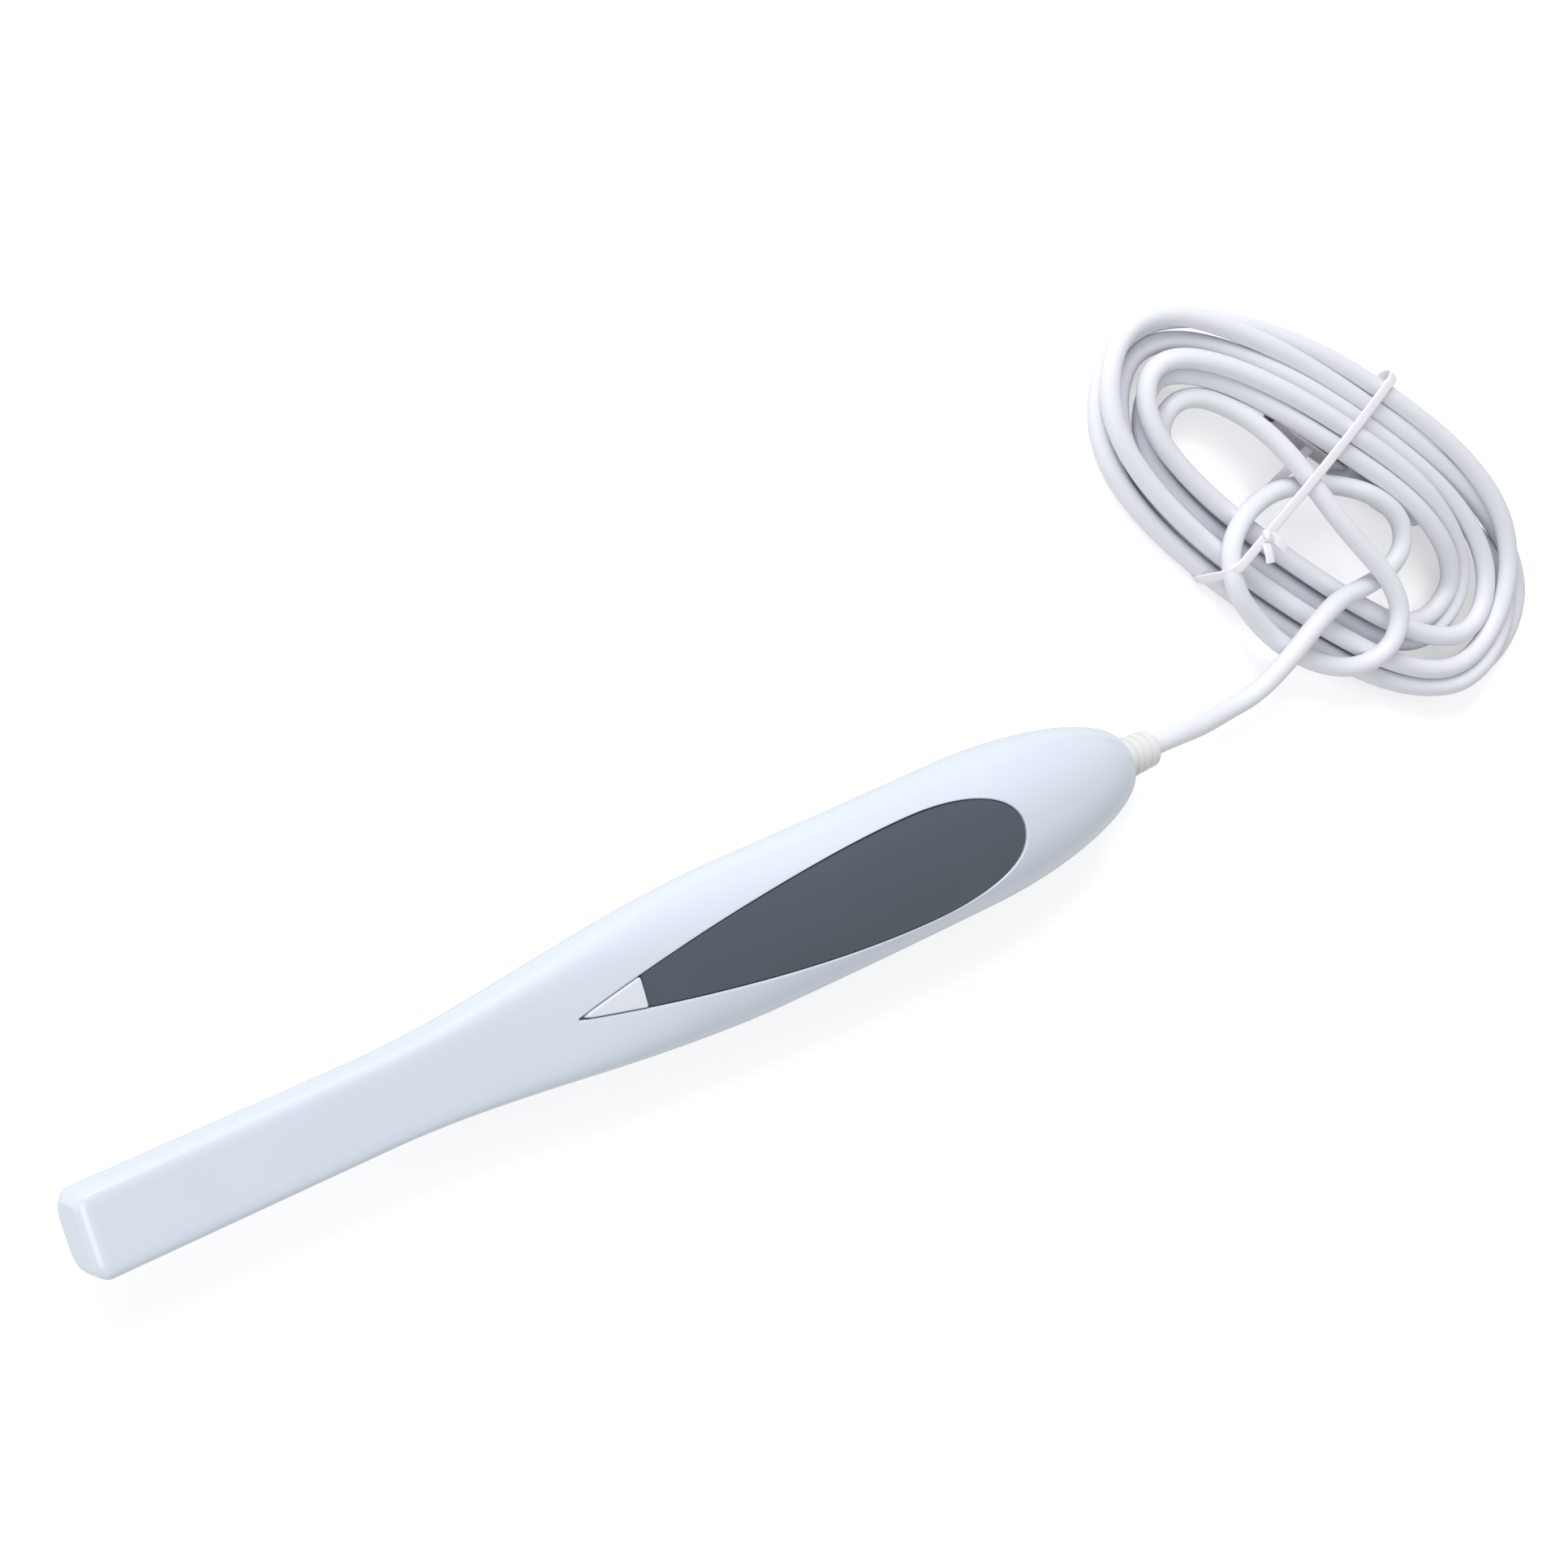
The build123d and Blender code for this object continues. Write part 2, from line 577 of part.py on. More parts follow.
# Six small capacitors beside the controller
with BuildPart() as capacitors:
    with Locations((CONTROLLER_X, 0, BOARD_TOP)):
        with GridLocations(CAPACITOR_PITCH, CHIP_SIDE + 2 * CHIP_GAP + CAPACITOR_WIDTH, 3, 2):
            Box(CAPACITOR_LENGTH, CAPACITOR_WIDTH, CAPACITOR_WIDTH,
                align=(Align.CENTER, Align.CENTER, Align.MIN))
save(capacitors, "capacitors")

# Ribbon connector, with the slot that takes the ribbon
with BuildPart() as ffc_connector:
    with Locations((RIBBON_END_X, 0, BOARD_TOP)):
        Box(FFC_LENGTH, RIBBON_WIDTH + 2, FFC_HEIGHT, align=(Align.MIN, Align.CENTER, Align.MIN))
    with Locations((RIBBON_END_X, 0, RIBBON_END_Z)):
        Box(FFC_LENGTH * 0.7, RIBBON_WIDTH, RIBBON_THICK, mode=Mode.SUBTRACT,
            align=(Align.MIN, Align.CENTER, Align.CENTER))
save(ffc_connector, "ffc_connector")

# Flat ribbon down the neck
with BuildPart() as flex_ribbon:
    with BuildLine() as ribbon_path:
        FilletPolyline((RIBBON_START_X, 0, RIBBON_START_Z), (RIBBON_END_X - 14, 0, RIBBON_START_Z),
                       (RIBBON_END_X - 5, 0, RIBBON_END_Z),
                       (RIBBON_END_X + FFC_LENGTH * 0.7, 0, RIBBON_END_Z), radius=RIBBON_BEND)
    with BuildSketch(Plane.YZ.offset(RIBBON_START_X)):
        with Locations((0, RIBBON_START_Z)):
            Rectangle(RIBBON_WIDTH, RIBBON_THICK)
    sweep(path=ribbon_path.line)
save(flex_ribbon, "flex_ribbon")

# Window and gasket on the underside of the tip
with BuildPart() as lens_window:
    with BuildSketch(Plane.XY.offset(WINDOW_FACE_Z)):
        with Locations((OPTICS_X, 0)):
            Circle(WINDOW_RADIUS)
    extrude(amount=WINDOW_THICK)
    chamfer(lens_window.edges().sort_by(Axis.Z)[0], WINDOW_THICK * 0.2)
save(lens_window, "lens_window")

with BuildPart() as window_gasket:
    with BuildSketch(Plane.XY.offset(WINDOW_FACE_Z + WINDOW_THICK)):
        with Locations((OPTICS_X, 0)):
            Circle(WINDOW_RADIUS)
            Circle(WINDOW_RADIUS - GASKET_WIDTH, mode=Mode.SUBTRACT)
    extrude(amount=GASKET_THICK)
save(window_gasket, "window_gasket")

# Ring board with its lights, round the lens barrel
with BuildPart() as led_board:
    with BuildSketch(Plane.XY.offset(LEDGE_TOP_Z)):
        with Locations((OPTICS_X, 0)):
            RectangleRounded(LED_BOARD_SIZE, LED_BOARD_SIZE, 1.5)
            Circle(BARREL_RADIUS + SLIP, mode=Mode.SUBTRACT)
    extrude(amount=LED_BOARD_THICK)
save(led_board, "led_board")

with BuildPart() as leds:
    with BuildSketch(Plane.XY.offset(LEDGE_TOP_Z)):
        with Locations((OPTICS_X, 0)):
            with PolarLocations(LED_RING_RADIUS, LED_COUNT, start_angle=180 / LED_COUNT):
                Rectangle(LED_SIZE, LED_SIZE)
    extrude(amount=-LED_HEIGHT)
save(leds, "leds")

# Lens barrel in its holder, with two lenses and the filter inside
barrel_start = LEDGE_TOP_Z - LED_HEIGHT
holder_bottom = LEDGE_TOP_Z + LED_BOARD_THICK
with BuildPart() as lens_barrel:
    with BuildSketch(Plane.XY.offset(barrel_start)):
        with Locations((OPTICS_X, 0)):
            Circle(BARREL_RADIUS)
            Circle(BARREL_RADIUS - BARREL_WALL, mode=Mode.SUBTRACT)
    extrude(amount=BARREL_LENGTH)
save(lens_barrel, "lens_barrel")


def lens(name, low_z, crown):
    """A round glass that fills the barrel's bore, flat above and domed below by crown."""
    radius = BARREL_RADIUS - BARREL_WALL
    with BuildPart() as piece:
        with BuildSketch(Plane.XZ):
            with BuildLine():
                Polyline((0, low_z), (0, low_z + LENS_THICK), (radius, low_z + LENS_THICK),
                         (radius, low_z + crown))
                if crown:
                    RadiusArc((radius, low_z + crown), (0, low_z), (radius ** 2 + crown ** 2) / (2 * crown))
                else:
                    Line((radius, low_z), (0, low_z))
            make_face()
        revolve(axis=Axis.Z)
    piece.part.position = (OPTICS_X, 0, 0)
    save(piece, name)


lens("front_lens", barrel_start + 0.2, 0.25)
lens("rear_lens", barrel_start + 0.2 + LENS_THICK + 0.3, 0.2)
lens("ir_filter", barrel_start + BARREL_LENGTH - LENS_THICK - 0.05, 0.0)

with BuildPart() as lens_holder:
    with BuildSketch(Plane.XY.offset(holder_bottom)):
        with Locations((OPTICS_X, 0)):
            RectangleRounded(HOLDER_SIZE, HOLDER_SIZE, 0.8)
            Circle(BARREL_RADIUS, mode=Mode.SUBTRACT)
    extrude(amount=HOLDER_HEIGHT)
    with BuildSketch(Plane.XY.offset(sensor_board_z)):
        with Locations((OPTICS_X, 0)):
            Rectangle(SENSOR_LENGTH + 2 * SLIP, SENSOR_WIDTH + 2 * SLIP)
    extrude(amount=-SENSOR_THICK, mode=Mode.SUBTRACT)
save(lens_holder, "lens_holder")

# Image sensor under its board
with BuildPart() as sensor_chip:
    with BuildSketch(Plane.XY.offset(sensor_board_z)):
        with Locations((OPTICS_X, 0)):
            Rectangle(SENSOR_LENGTH, SENSOR_WIDTH)
    extrude(amount=-SENSOR_THICK)
save(sensor_chip, "sensor_chip")

with BuildPart() as sensor_board:
    with BuildSketch(Plane.XY.offset(sensor_board_z)):
        with Locations((OPTICS_X - HOLDER_SIZE / 2, 0)):
            RectangleRounded(SENSOR_BOARD_LENGTH, SENSOR_BOARD_WIDTH, 0.6, align=(Align.MIN, Align.CENTER))
    extrude(amount=SENSOR_BOARD_THICK)
save(sensor_board, "sensor_board")


def screws(name, seats, radius, head_radius, head_height, length):
    """Pan-head screws standing on their seats (x, y, z), with a cross slot in each head."""
    with BuildPart() as group:
        for x, y, z in seats:
            with BuildSketch(Plane.XY.offset(z)):
                with Locations((x, y)):
                    Circle(head_radius)
            extrude(amount=head_height)
            fillet(group.edges().filter_by_position(Axis.Z, z + head_height - SLIP, z + head_height + SLIP)
                   .filter_by(GeomType.CIRCLE).sort_by_distance((x, y, z + head_height))[0],
                   head_height * HEAD_EASE)
            with BuildSketch(Plane.XY.offset(z)):
                with Locations((x, y)):
                    Circle(radius)
            extrude(amount=-length)
            with BuildSketch(Plane.XY.offset(z + head_height)):
                with Locations((x, y)):
                    Rectangle(2 * head_radius * SLOT_REACH, 2 * head_radius * SLOT_WIDTH)
                    Rectangle(2 * head_radius * SLOT_WIDTH, 2 * head_radius * SLOT_REACH)
            extrude(amount=-head_height / 2, mode=Mode.SUBTRACT)
    save(group, name)


screws("case_screws", [(x, 0, screw_seat(x)) for x in CASE_POST_XS], CASE_SCREW_RADIUS,
       CASE_HEAD_RADIUS, CASE_HEAD_HEIGHT, CASE_SCREW_LENGTH)
screws("board_screws", [(x, y, BOARD_TOP) for x, y in BOARD_SCREW_SPOTS], BOARD_SCREW_RADIUS,
       BOARD_HEAD_RADIUS, BOARD_HEAD_HEIGHT, BOARD_SCREW_LENGTH)
screws("clamp_screws", [(x, y, TAIL_MIDDLE + CLAMP_TOP) for x, y in CLAMP_SCREW_SPOTS], BOARD_SCREW_RADIUS,
       BOARD_HEAD_RADIUS, BOARD_HEAD_HEIGHT, CLAMP_TOP + BOARD_SCREW_LENGTH - CLAMP_SCREW_SHORT)

# Clamp over the cable
with BuildPart() as cable_clamp:
    with BuildSketch(Plane.YZ.offset(CLAMP_X - CLAMP_LENGTH / 2)):
        with Locations((0, TAIL_MIDDLE)):
            Rectangle(CLAMP_WIDTH, CLAMP_TOP, align=(Align.CENTER, Align.MIN))
            Circle(CABLE_RADIUS, mode=Mode.SUBTRACT)
    extrude(amount=CLAMP_LENGTH)
    with BuildSketch(Plane.XY.offset(TAIL_MIDDLE)):
        with Locations(*CLAMP_SCREW_SPOTS):
            Circle(BOARD_SCREW_RADIUS + SCREW_CLEARANCE)
    extrude(amount=CLAMP_TOP, mode=Mode.SUBTRACT)
save(cable_clamp, "cable_clamp")

# Cable inside the tail and the boot, from where its jacket is stripped
with BuildPart() as inner_cable:
    with BuildSketch(Plane.YZ.offset(CABLE_STRIP_X)):
        with Locations((0, TAIL_MIDDLE)):
            Circle(CABLE_RADIUS)
    extrude(amount=CABLE_EXIT_X - CABLE_STRIP_X)
save(inner_cable, "inner_cable")

# Cable connector on the board, and four wires to it
with BuildPart() as cable_connector:
    with Locations((CONNECTOR_X, 0, BOARD_TOP)):
        Box(CONNECTOR_LENGTH, CONNECTOR_WIDTH, CONNECTOR_HEIGHT, align=(Align.MAX, Align.CENTER, Align.MIN))
    chamfer(cable_connector.faces().sort_by(Axis.Z)[-1].edges(), 0.3)
save(cable_connector, "cable_connector")

with BuildPart() as signal_wires:
    for i in range(WIRE_COUNT):
        place = i - (WIRE_COUNT - 1) / 2
        wire_y, pin_y = place * WIRE_RADIUS * 2.1, place * WIRE_RADIUS * 3.2
        pin_z = BOARD_TOP + CONNECTOR_HEIGHT / 2
        run = (CABLE_STRIP_X - CONNECTOR_X) / 4
        with BuildLine() as wire_path:
            FilletPolyline((CABLE_STRIP_X, wire_y, TAIL_MIDDLE), (CABLE_STRIP_X - run, wire_y, TAIL_MIDDLE),
                           (CONNECTOR_X + run, pin_y, pin_z), (CONNECTOR_X, pin_y, pin_z), radius=WIRE_BEND)
        with BuildSketch(Plane.YZ.offset(CABLE_STRIP_X)):
            with Locations((wire_y, TAIL_MIDDLE)):
                Circle(WIRE_RADIUS)
        sweep(path=wire_path.line)
save(signal_wires, "signal_wires")

# Strain relief: a flange inside the tail, a neck through its hole and a ribbed boot outside
flange_x = TAIL_X - TAIL_WALL - BOOT_FLANGE_THICK
boot_nose = BOOT_END_RADIUS * 0.4
rib_pitch = (BOOT_LENGTH - boot_nose) / BOOT_RIBS
with BuildPart() as strain_relief:
    with BuildSketch(Plane.XZ):
        with BuildLine():
            Polyline((flange_x, 0), (flange_x, BOOT_FLANGE_RADIUS),
                     (flange_x + BOOT_FLANGE_THICK, BOOT_FLANGE_RADIUS),
                     (flange_x + BOOT_FLANGE_THICK, BOOT_RADIUS), (TAIL_X, BOOT_RADIUS),
                     (CABLE_EXIT_X - boot_nose, BOOT_END_RADIUS))
            nose = CenterArc((CABLE_EXIT_X - boot_nose, BOOT_END_RADIUS - boot_nose), boot_nose, 0, 90)
            Line(nose @ 0, (CABLE_EXIT_X, 0))
            Line((CABLE_EXIT_X, 0), (flange_x, 0))
        make_face()
        for i in range(1, BOOT_RIBS):
            with Locations((TAIL_X + rib_pitch * i, BOOT_RADIUS)):
                Rectangle(GROOVE_WIDTH, 2 * (GROOVE_DEPTH + (BOOT_RADIUS - BOOT_END_RADIUS) * i / BOOT_RIBS),
                          mode=Mode.SUBTRACT)
    revolve(axis=Axis.X)
    with BuildSketch(Plane.YZ.offset(flange_x)):
        Circle(CABLE_RADIUS)
    extrude(amount=LENGTH, mode=Mode.SUBTRACT)
strain_relief.part.position = (0, 0, TAIL_MIDDLE)
save(strain_relief, "strain_relief")

# Cable lead: out of the boot, down to the table and up on to the coil
lead_points = [
    (CABLE_EXIT_X, 0, TAIL_MIDDLE), (TAIL_X + 15.5, 0, TAIL_MIDDLE), (TAIL_X + 27, -0.8, 4.4),
    (TAIL_X + 37, -1, 2.6), (TAIL_X + 46, 1.8, 3.6), (TAIL_X + 55, 9.5, 6.5),
]


def tube_radii(points):
    """Bend radius at each corner: as large as its two runs allow."""
    radii = []
    for before, corner, after in zip(points, points[1:], points[2:]):
        first, second = Vector(*corner) - Vector(*before), Vector(*after) - Vector(*corner)
        half_turn = math.radians(first.get_angle(second)) / 2
        radii.append(0.45 * min(first.length, second.length) / math.tan(half_turn))
    return radii


lead_radii = tube_radii(lead_points)
print("cable lead radii", [round(radius, 1) for radius in lead_radii])
with BuildPart() as cable_lead:
    with BuildLine() as lead_path:
        FilletPolyline(*lead_points, radius=lead_radii)
    with BuildSketch(Plane(lead_path.line @ 0, z_dir=lead_path.line % 0)):
        Circle(CABLE_RADIUS)
    sweep(path=lead_path.line)
lead_length = sum(edge.length for edge in lead_path.edges())
print("cable lead length", round(lead_length, 1), "volume over section x length",
      round(cable_lead.part.volume / (math.pi * CABLE_RADIUS ** 2 * lead_length), 4))
save(cable_lead, "cable_lead")

# Frame of the coil: x along it, y to its far side
coil_plane = Plane(origin=(*COIL_CENTRE, 0), x_dir=Vector(1, 0, 0).rotate(Axis.Z, COIL_ANGLE), z_dir=(0, 0, 1))

# Plug: overmould, metal shell and contact tongue, lying flat under the coil
plug_mid_z = TIE_THICK + PLUG_HOUSING_HEIGHT / 2
plug_plane = Plane(origin=coil_plane.from_local_coords((PLUG_U, PLUG_V, plug_mid_z)),
                   x_dir=-coil_plane.y_dir, z_dir=-coil_plane.x_dir)
with BuildPart() as usb_plug_housing:
    with BuildSketch(plug_plane):
        RectangleRounded(PLUG_HOUSING_WIDTH, PLUG_HOUSING_HEIGHT, 1.6)
    extrude(amount=PLUG_HOUSING_LENGTH)
    chamfer(usb_plug_housing.faces().sort_by(Axis((0, 0, 0), coil_plane.x_dir))[-1].edges(), PLUG_EASE)
save(usb_plug_housing, "usb_plug_housing")

with BuildPart() as usb_plug_shell:
    with BuildSketch(plug_plane.offset(PLUG_HOUSING_LENGTH)):
        RectangleRounded(PLUG_SHELL_WIDTH, PLUG_SHELL_HEIGHT, 0.6)
        RectangleRounded(PLUG_SHELL_WIDTH - 2 * PLUG_SHELL_WALL, PLUG_SHELL_HEIGHT - 2 * PLUG_SHELL_WALL,
                         0.4, mode=Mode.SUBTRACT)
    extrude(amount=PLUG_SHELL_LENGTH)
save(usb_plug_shell, "usb_plug_shell")

with BuildPart() as usb_plug_tongue:
    with BuildSketch(plug_plane.offset(PLUG_HOUSING_LENGTH)):
        with Locations((0, PLUG_SHELL_HEIGHT / 2 - PLUG_SHELL_WALL)):
            Rectangle(PLUG_TONGUE_WIDTH, PLUG_TONGUE_HEIGHT, align=(Align.CENTER, Align.MAX))
    extrude(amount=PLUG_SHELL_LENGTH - PLUG_TONGUE_SETBACK)
save(usb_plug_tongue, "usb_plug_tongue")

# Tie: a flat band round the waist of the hank
tie_plane = Plane(origin=coil_plane.from_local_coords((TIE_U, 0, 0)),
                  x_dir=coil_plane.y_dir.rotate(Axis.Z, -TIE_SLANT),
                  z_dir=coil_plane.x_dir.rotate(Axis.Z, -TIE_SLANT))
tie_span = COIL_WIDTH / math.cos(math.radians(TIE_SLANT)) + 4
with BuildPart() as cable_tie:
    with BuildSketch(tie_plane):
        with Locations((0, (COIL_HEIGHT + 2 * TIE_THICK) / 2)):
            RectangleRounded(tie_span + 2 * TIE_THICK, COIL_HEIGHT + 2 * TIE_THICK, 3 + TIE_THICK)
            RectangleRounded(tie_span, COIL_HEIGHT, 3, mode=Mode.SUBTRACT)
    extrude(amount=TIE_WIDTH / 2, both=True)
save(cable_tie, "cable_tie")

# Coil: one closed ring of the turns' outer shape, laid over the plug and through the tie
with BuildPart() as cable_coil:
    with BuildSketch(coil_plane):
        SlotOverall(COIL_LENGTH, COIL_WIDTH)
        with Locations((COIL_HOLE_SHIFT, 0)):
            SlotOverall(COIL_HOLE_LENGTH, COIL_HOLE_WIDTH, mode=Mode.SUBTRACT)
    extrude(amount=COIL_HEIGHT)
    add([cable_tie.part, cable_lead.part], mode=Mode.SUBTRACT)
    with BuildSketch(plug_plane.offset(-SLIP)):
        with Locations((0, -plug_mid_z)):
            Rectangle(PLUG_HOUSING_WIDTH + 4 * SLIP, TIE_THICK + PLUG_HOUSING_HEIGHT + SLIP,
                      align=(Align.CENTER, Align.MIN))
    extrude(amount=PLUG_HOUSING_LENGTH + PLUG_SHELL_LENGTH + 2 * SLIP, mode=Mode.SUBTRACT)
save(cable_coil, "cable_coil")
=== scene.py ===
import math

import bmesh
import bpy
import numpy as np
from mathutils import Matrix, Vector


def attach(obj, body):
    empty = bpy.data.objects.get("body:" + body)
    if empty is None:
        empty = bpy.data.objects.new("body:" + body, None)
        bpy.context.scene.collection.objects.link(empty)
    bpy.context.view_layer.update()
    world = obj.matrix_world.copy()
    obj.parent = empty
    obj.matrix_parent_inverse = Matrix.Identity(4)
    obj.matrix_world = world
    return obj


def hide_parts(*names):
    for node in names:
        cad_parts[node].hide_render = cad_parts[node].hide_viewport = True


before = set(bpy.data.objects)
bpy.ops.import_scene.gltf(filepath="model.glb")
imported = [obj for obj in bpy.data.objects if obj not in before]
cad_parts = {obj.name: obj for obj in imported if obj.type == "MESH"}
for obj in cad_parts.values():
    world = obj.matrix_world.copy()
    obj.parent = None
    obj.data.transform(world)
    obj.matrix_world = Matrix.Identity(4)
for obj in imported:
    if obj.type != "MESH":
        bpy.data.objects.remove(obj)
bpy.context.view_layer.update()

# Camera
# It stands to the left of the tip, 0.4 m above the table, and looks down along the wand as the photograph
# does. Its place and directions were fitted to the wand's outline there. Pieces are sized in millimetres.
MM = 0.001
CAMERA_PLACE = Vector((-227.49, 121.76, 416.16)) * MM
CAMERA_RIGHT = Vector((0.7829, -0.2607, 0.5649))
CAMERA_UP = Vector((0.332, 0.9429, -0.0249))
SENSOR_WIDTH = 36.0
LENS = 71.82
NEAR_CLIP = 0.01

camera_data = bpy.data.cameras.new("camera")
camera_data.sensor_width = SENSOR_WIDTH
camera_data.lens = LENS
camera_data.clip_start = NEAR_CLIP
camera = bpy.data.objects.new("camera", camera_data)
bpy.context.collection.objects.link(camera)
right = CAMERA_RIGHT.normalized()
up = (CAMERA_UP - CAMERA_UP.dot(right) * right).normalized()
facing = Matrix((right, up, right.cross(up))).transposed().to_4x4()
camera.matrix_world = Matrix.Translation(CAMERA_PLACE) @ facing
bpy.context.scene.camera = camera
bpy.context.scene.view_settings.view_transform = "Standard"

# Cable
# A round white jacket of soft PVC. It leaves the boot, makes one small loop over the hank, and then
# runs round the hank in turns that differ in reach, until it goes into the plug under the far side.
CABLE_RADIUS = 1.8
TAIL_X = 99.0
BOOT_END_X = 106.6
TAIL_Z = 8.0
HANK_CENTRE = np.array([164.8, 26.5])
HANK_ANGLE = math.radians(-43.6)
HANK_ALONG = np.array([math.cos(HANK_ANGLE), math.sin(HANK_ANGLE)])
HANK_ACROSS = np.array([math.sin(HANK_ANGLE), -math.cos(HANK_ANGLE)])
PLUG_PLACE = (20.0, -12.0, 3.8)
PLUG_HALF_WIDTH = 6.8
PLUG_TOP = 7.1
PLUG_REACH = -19.7
TURN_POINTS = 14
TURN_SQUARENESS = 0.78
LAST_TURN_STOP = -0.95
# Lead and small loop, listed point by point
LEAD = [
    (BOOT_END_X, 0, TAIL_Z), (112, 0, TAIL_Z), (120, -0.8, 6.4), (129, -0.8, 5.0), (136, 0, 6.5),
    (142, 4.5, 10.5), (148, 9, 12.5), (156, 11.5, 11), (164, 11, 9), (171.5, 11.5, 8.5), (177.5, 15.5, 8.5),
    (178, 22.5, 8.5), (172, 28.5, 9), (164, 31.5, 9.5), (156, 33.5, 10), (148, 34, 11), (140, 32.5, 12.5),
    (134, 28, 13.5), (133, 20.5, 13.5), (137.5, 13, 12), (144, 6, 10), (152, 0, 9), (160, -3, 9),
    (167.5, -1.5, 10.5), (170.5, 4.5, 12.5), (168, 11.5, 13.5), (163.5, 18, 14), (159, 25, 14),
    (156, 32, 13), (153, 39, 12.5), (149.5, 46, 11), (144.5, 52.5, 9.5), (138, 56, 8), (131.5, 54.5, 6.5),
]
# Each turn: (reach, across, height) at its left end, (across, height) on its near run, (reach, across,
# height) at its right end and (across, height) on its far run, in the hank's own directions
TURNS = [
    ((46, 3, 5), (15, 3), (35, 2, 4), (-7, 9)),
    ((48, 1, 5), (18, 3), (38, 2, 6), (-10.5, 13)),
    ((52, 1, 10), (14, 8), (43, 1, 9), (-14.5, 13)),
    ((55, -1, 5), (21, 3), (55, 0, 2.5), (-17, 9)),
    ((61, 0, 9), (23, 8), (47, 3, 5.5), (-20, 9)),
    ((58, 3, 3), (25, 2.5), (50, 0, 6), (-12, 4)),
]
# Last stretch, under the far runs and into the plug
PLUG_RUN = [(50, -3, 5), (44, -10.5, 4), (35, -12.5, PLUG_PLACE[2]), (27, -12, PLUG_PLACE[2]), PLUG_PLACE]


def hank_point(along, across, height):
    """A point given in the hank's own directions: centre + along * its long axis + across * its short one."""
    x, y = HANK_CENTRE + along * HANK_ALONG + across * HANK_ACROSS
    return np.array([x, y, height])


route = [np.array(point, float) for point in LEAD]
for number, (left, near, far_end, far) in enumerate(TURNS):
    last_turn = number == len(TURNS) - 1
    next_left = left if last_turn else TURNS[number + 1][0]
    for step in range(0 if number else 1, TURN_POINTS):
        angle = 2 * math.pi * step / TURN_POINTS
        c, s = math.cos(angle), math.sin(angle)
        if last_turn and c < LAST_TURN_STOP:
            break
        c = math.copysign(abs(c) ** TURN_SQUARENESS, c)
        s = math.copysign(abs(s) ** TURN_SQUARENESS, s)
        end = far_end if c < 0 else (left if s >= 0 else next_left)
        run = near if s >= 0 else far
        route.append(hank_point(-end[0] * c, run[0] * abs(s) + end[1] * c * c,
                                (run[1] * s * s + end[2] * c * c) / (c * c + s * s)))
route = np.array(route + [hank_point(*point) for point in PLUG_RUN])

# The turns press on each other, on the table and on the plug, and each step moves them apart a little.
# It doesn't part them wholly: where strands cross, some still end slightly inside each other.
SPAN_SAMPLES = 5
FIXED_POINTS = 3
NEIGHBOUR_SAMPLES = 14
SETTLE_STEPS = 260
SETTLE_DROP = 0.035
CLEAR_DIAMETER = 2 * CABLE_RADIUS + 0.06
TABLE_CLEARANCE = 0.05
NEAREST = 0.05
PRESS_SHARE = 0.5
STEP_GAIN = 1.6
SMOOTHING = 0.35
PULL_BACK = 0.99
STRAIGHTENING = 0.004
NEGLIGIBLE = 1e-9
count = len(route)
basis = np.zeros(((count - 2) * SPAN_SAMPLES, count))
for span in range(count - 2):
    t = (np.arange(SPAN_SAMPLES) + 0.5) / SPAN_SAMPLES
    rows = slice(span * SPAN_SAMPLES, (span + 1) * SPAN_SAMPLES)
    basis[rows, span] = (1 - t) ** 2 / 2
    basis[rows, span + 1] = 0.5 + t - t * t
    basis[rows, span + 2] = t * t / 2
share = basis / np.maximum(basis.sum(axis=0), NEGLIGIBLE)
loose = np.ones((count, 1))
loose[:FIXED_POINTS] = loose[-FIXED_POINTS:] = 0
planned = route.copy()
order = np.arange(len(basis))
apart = np.abs(order[:, None] - order[None, :]) > NEIGHBOUR_SAMPLES
before_plug = order < len(order) - FIXED_POINTS * SPAN_SAMPLES
for step in range(SETTLE_STEPS):
    line = basis @ route
    gap = line[:, None] - line[None, :]
    distance = np.linalg.norm(gap, axis=2)
    press = np.where(apart & (distance < CLEAR_DIAMETER), CLEAR_DIAMETER - distance, 0.0)
    push = (gap / np.maximum(distance, NEAREST)[..., None] * press[..., None] * PRESS_SHARE).sum(axis=1)
    fading = 1 - step / SETTLE_STEPS
    push[:, 2] -= SETTLE_DROP * fading
    along = (line[:, :2] - HANK_CENTRE) @ HANK_ALONG
    across = (line[:, :2] - HANK_CENTRE) @ HANK_ACROSS
    over_plug = ((along < PLUG_PLACE[0] + CABLE_RADIUS) & (along > PLUG_REACH - CABLE_RADIUS)
                 & (np.abs(across - PLUG_PLACE[1]) < PLUG_HALF_WIDTH + CABLE_RADIUS) & before_plug)
    floor = np.where(over_plug, PLUG_TOP, 0.0) + CABLE_RADIUS + TABLE_CLEARANCE
    push[:, 2] += np.maximum(floor - line[:, 2] - push[:, 2], 0)
    route = route + loose * (share.T @ push) * STEP_GAIN
    moved = route - planned
    moved[1:-1] += loose[1:-1] * SMOOTHING * fading * ((moved[:-2] + moved[2:]) / 2 - moved[1:-1])
    moved[:, :2] *= PULL_BACK
    route = planned + moved
    middle = (route[:-2] + route[2:]) / 2
    route[1:-1] += loose[1:-1] * STRAIGHTENING * (middle - route[1:-1])
line = basis @ route

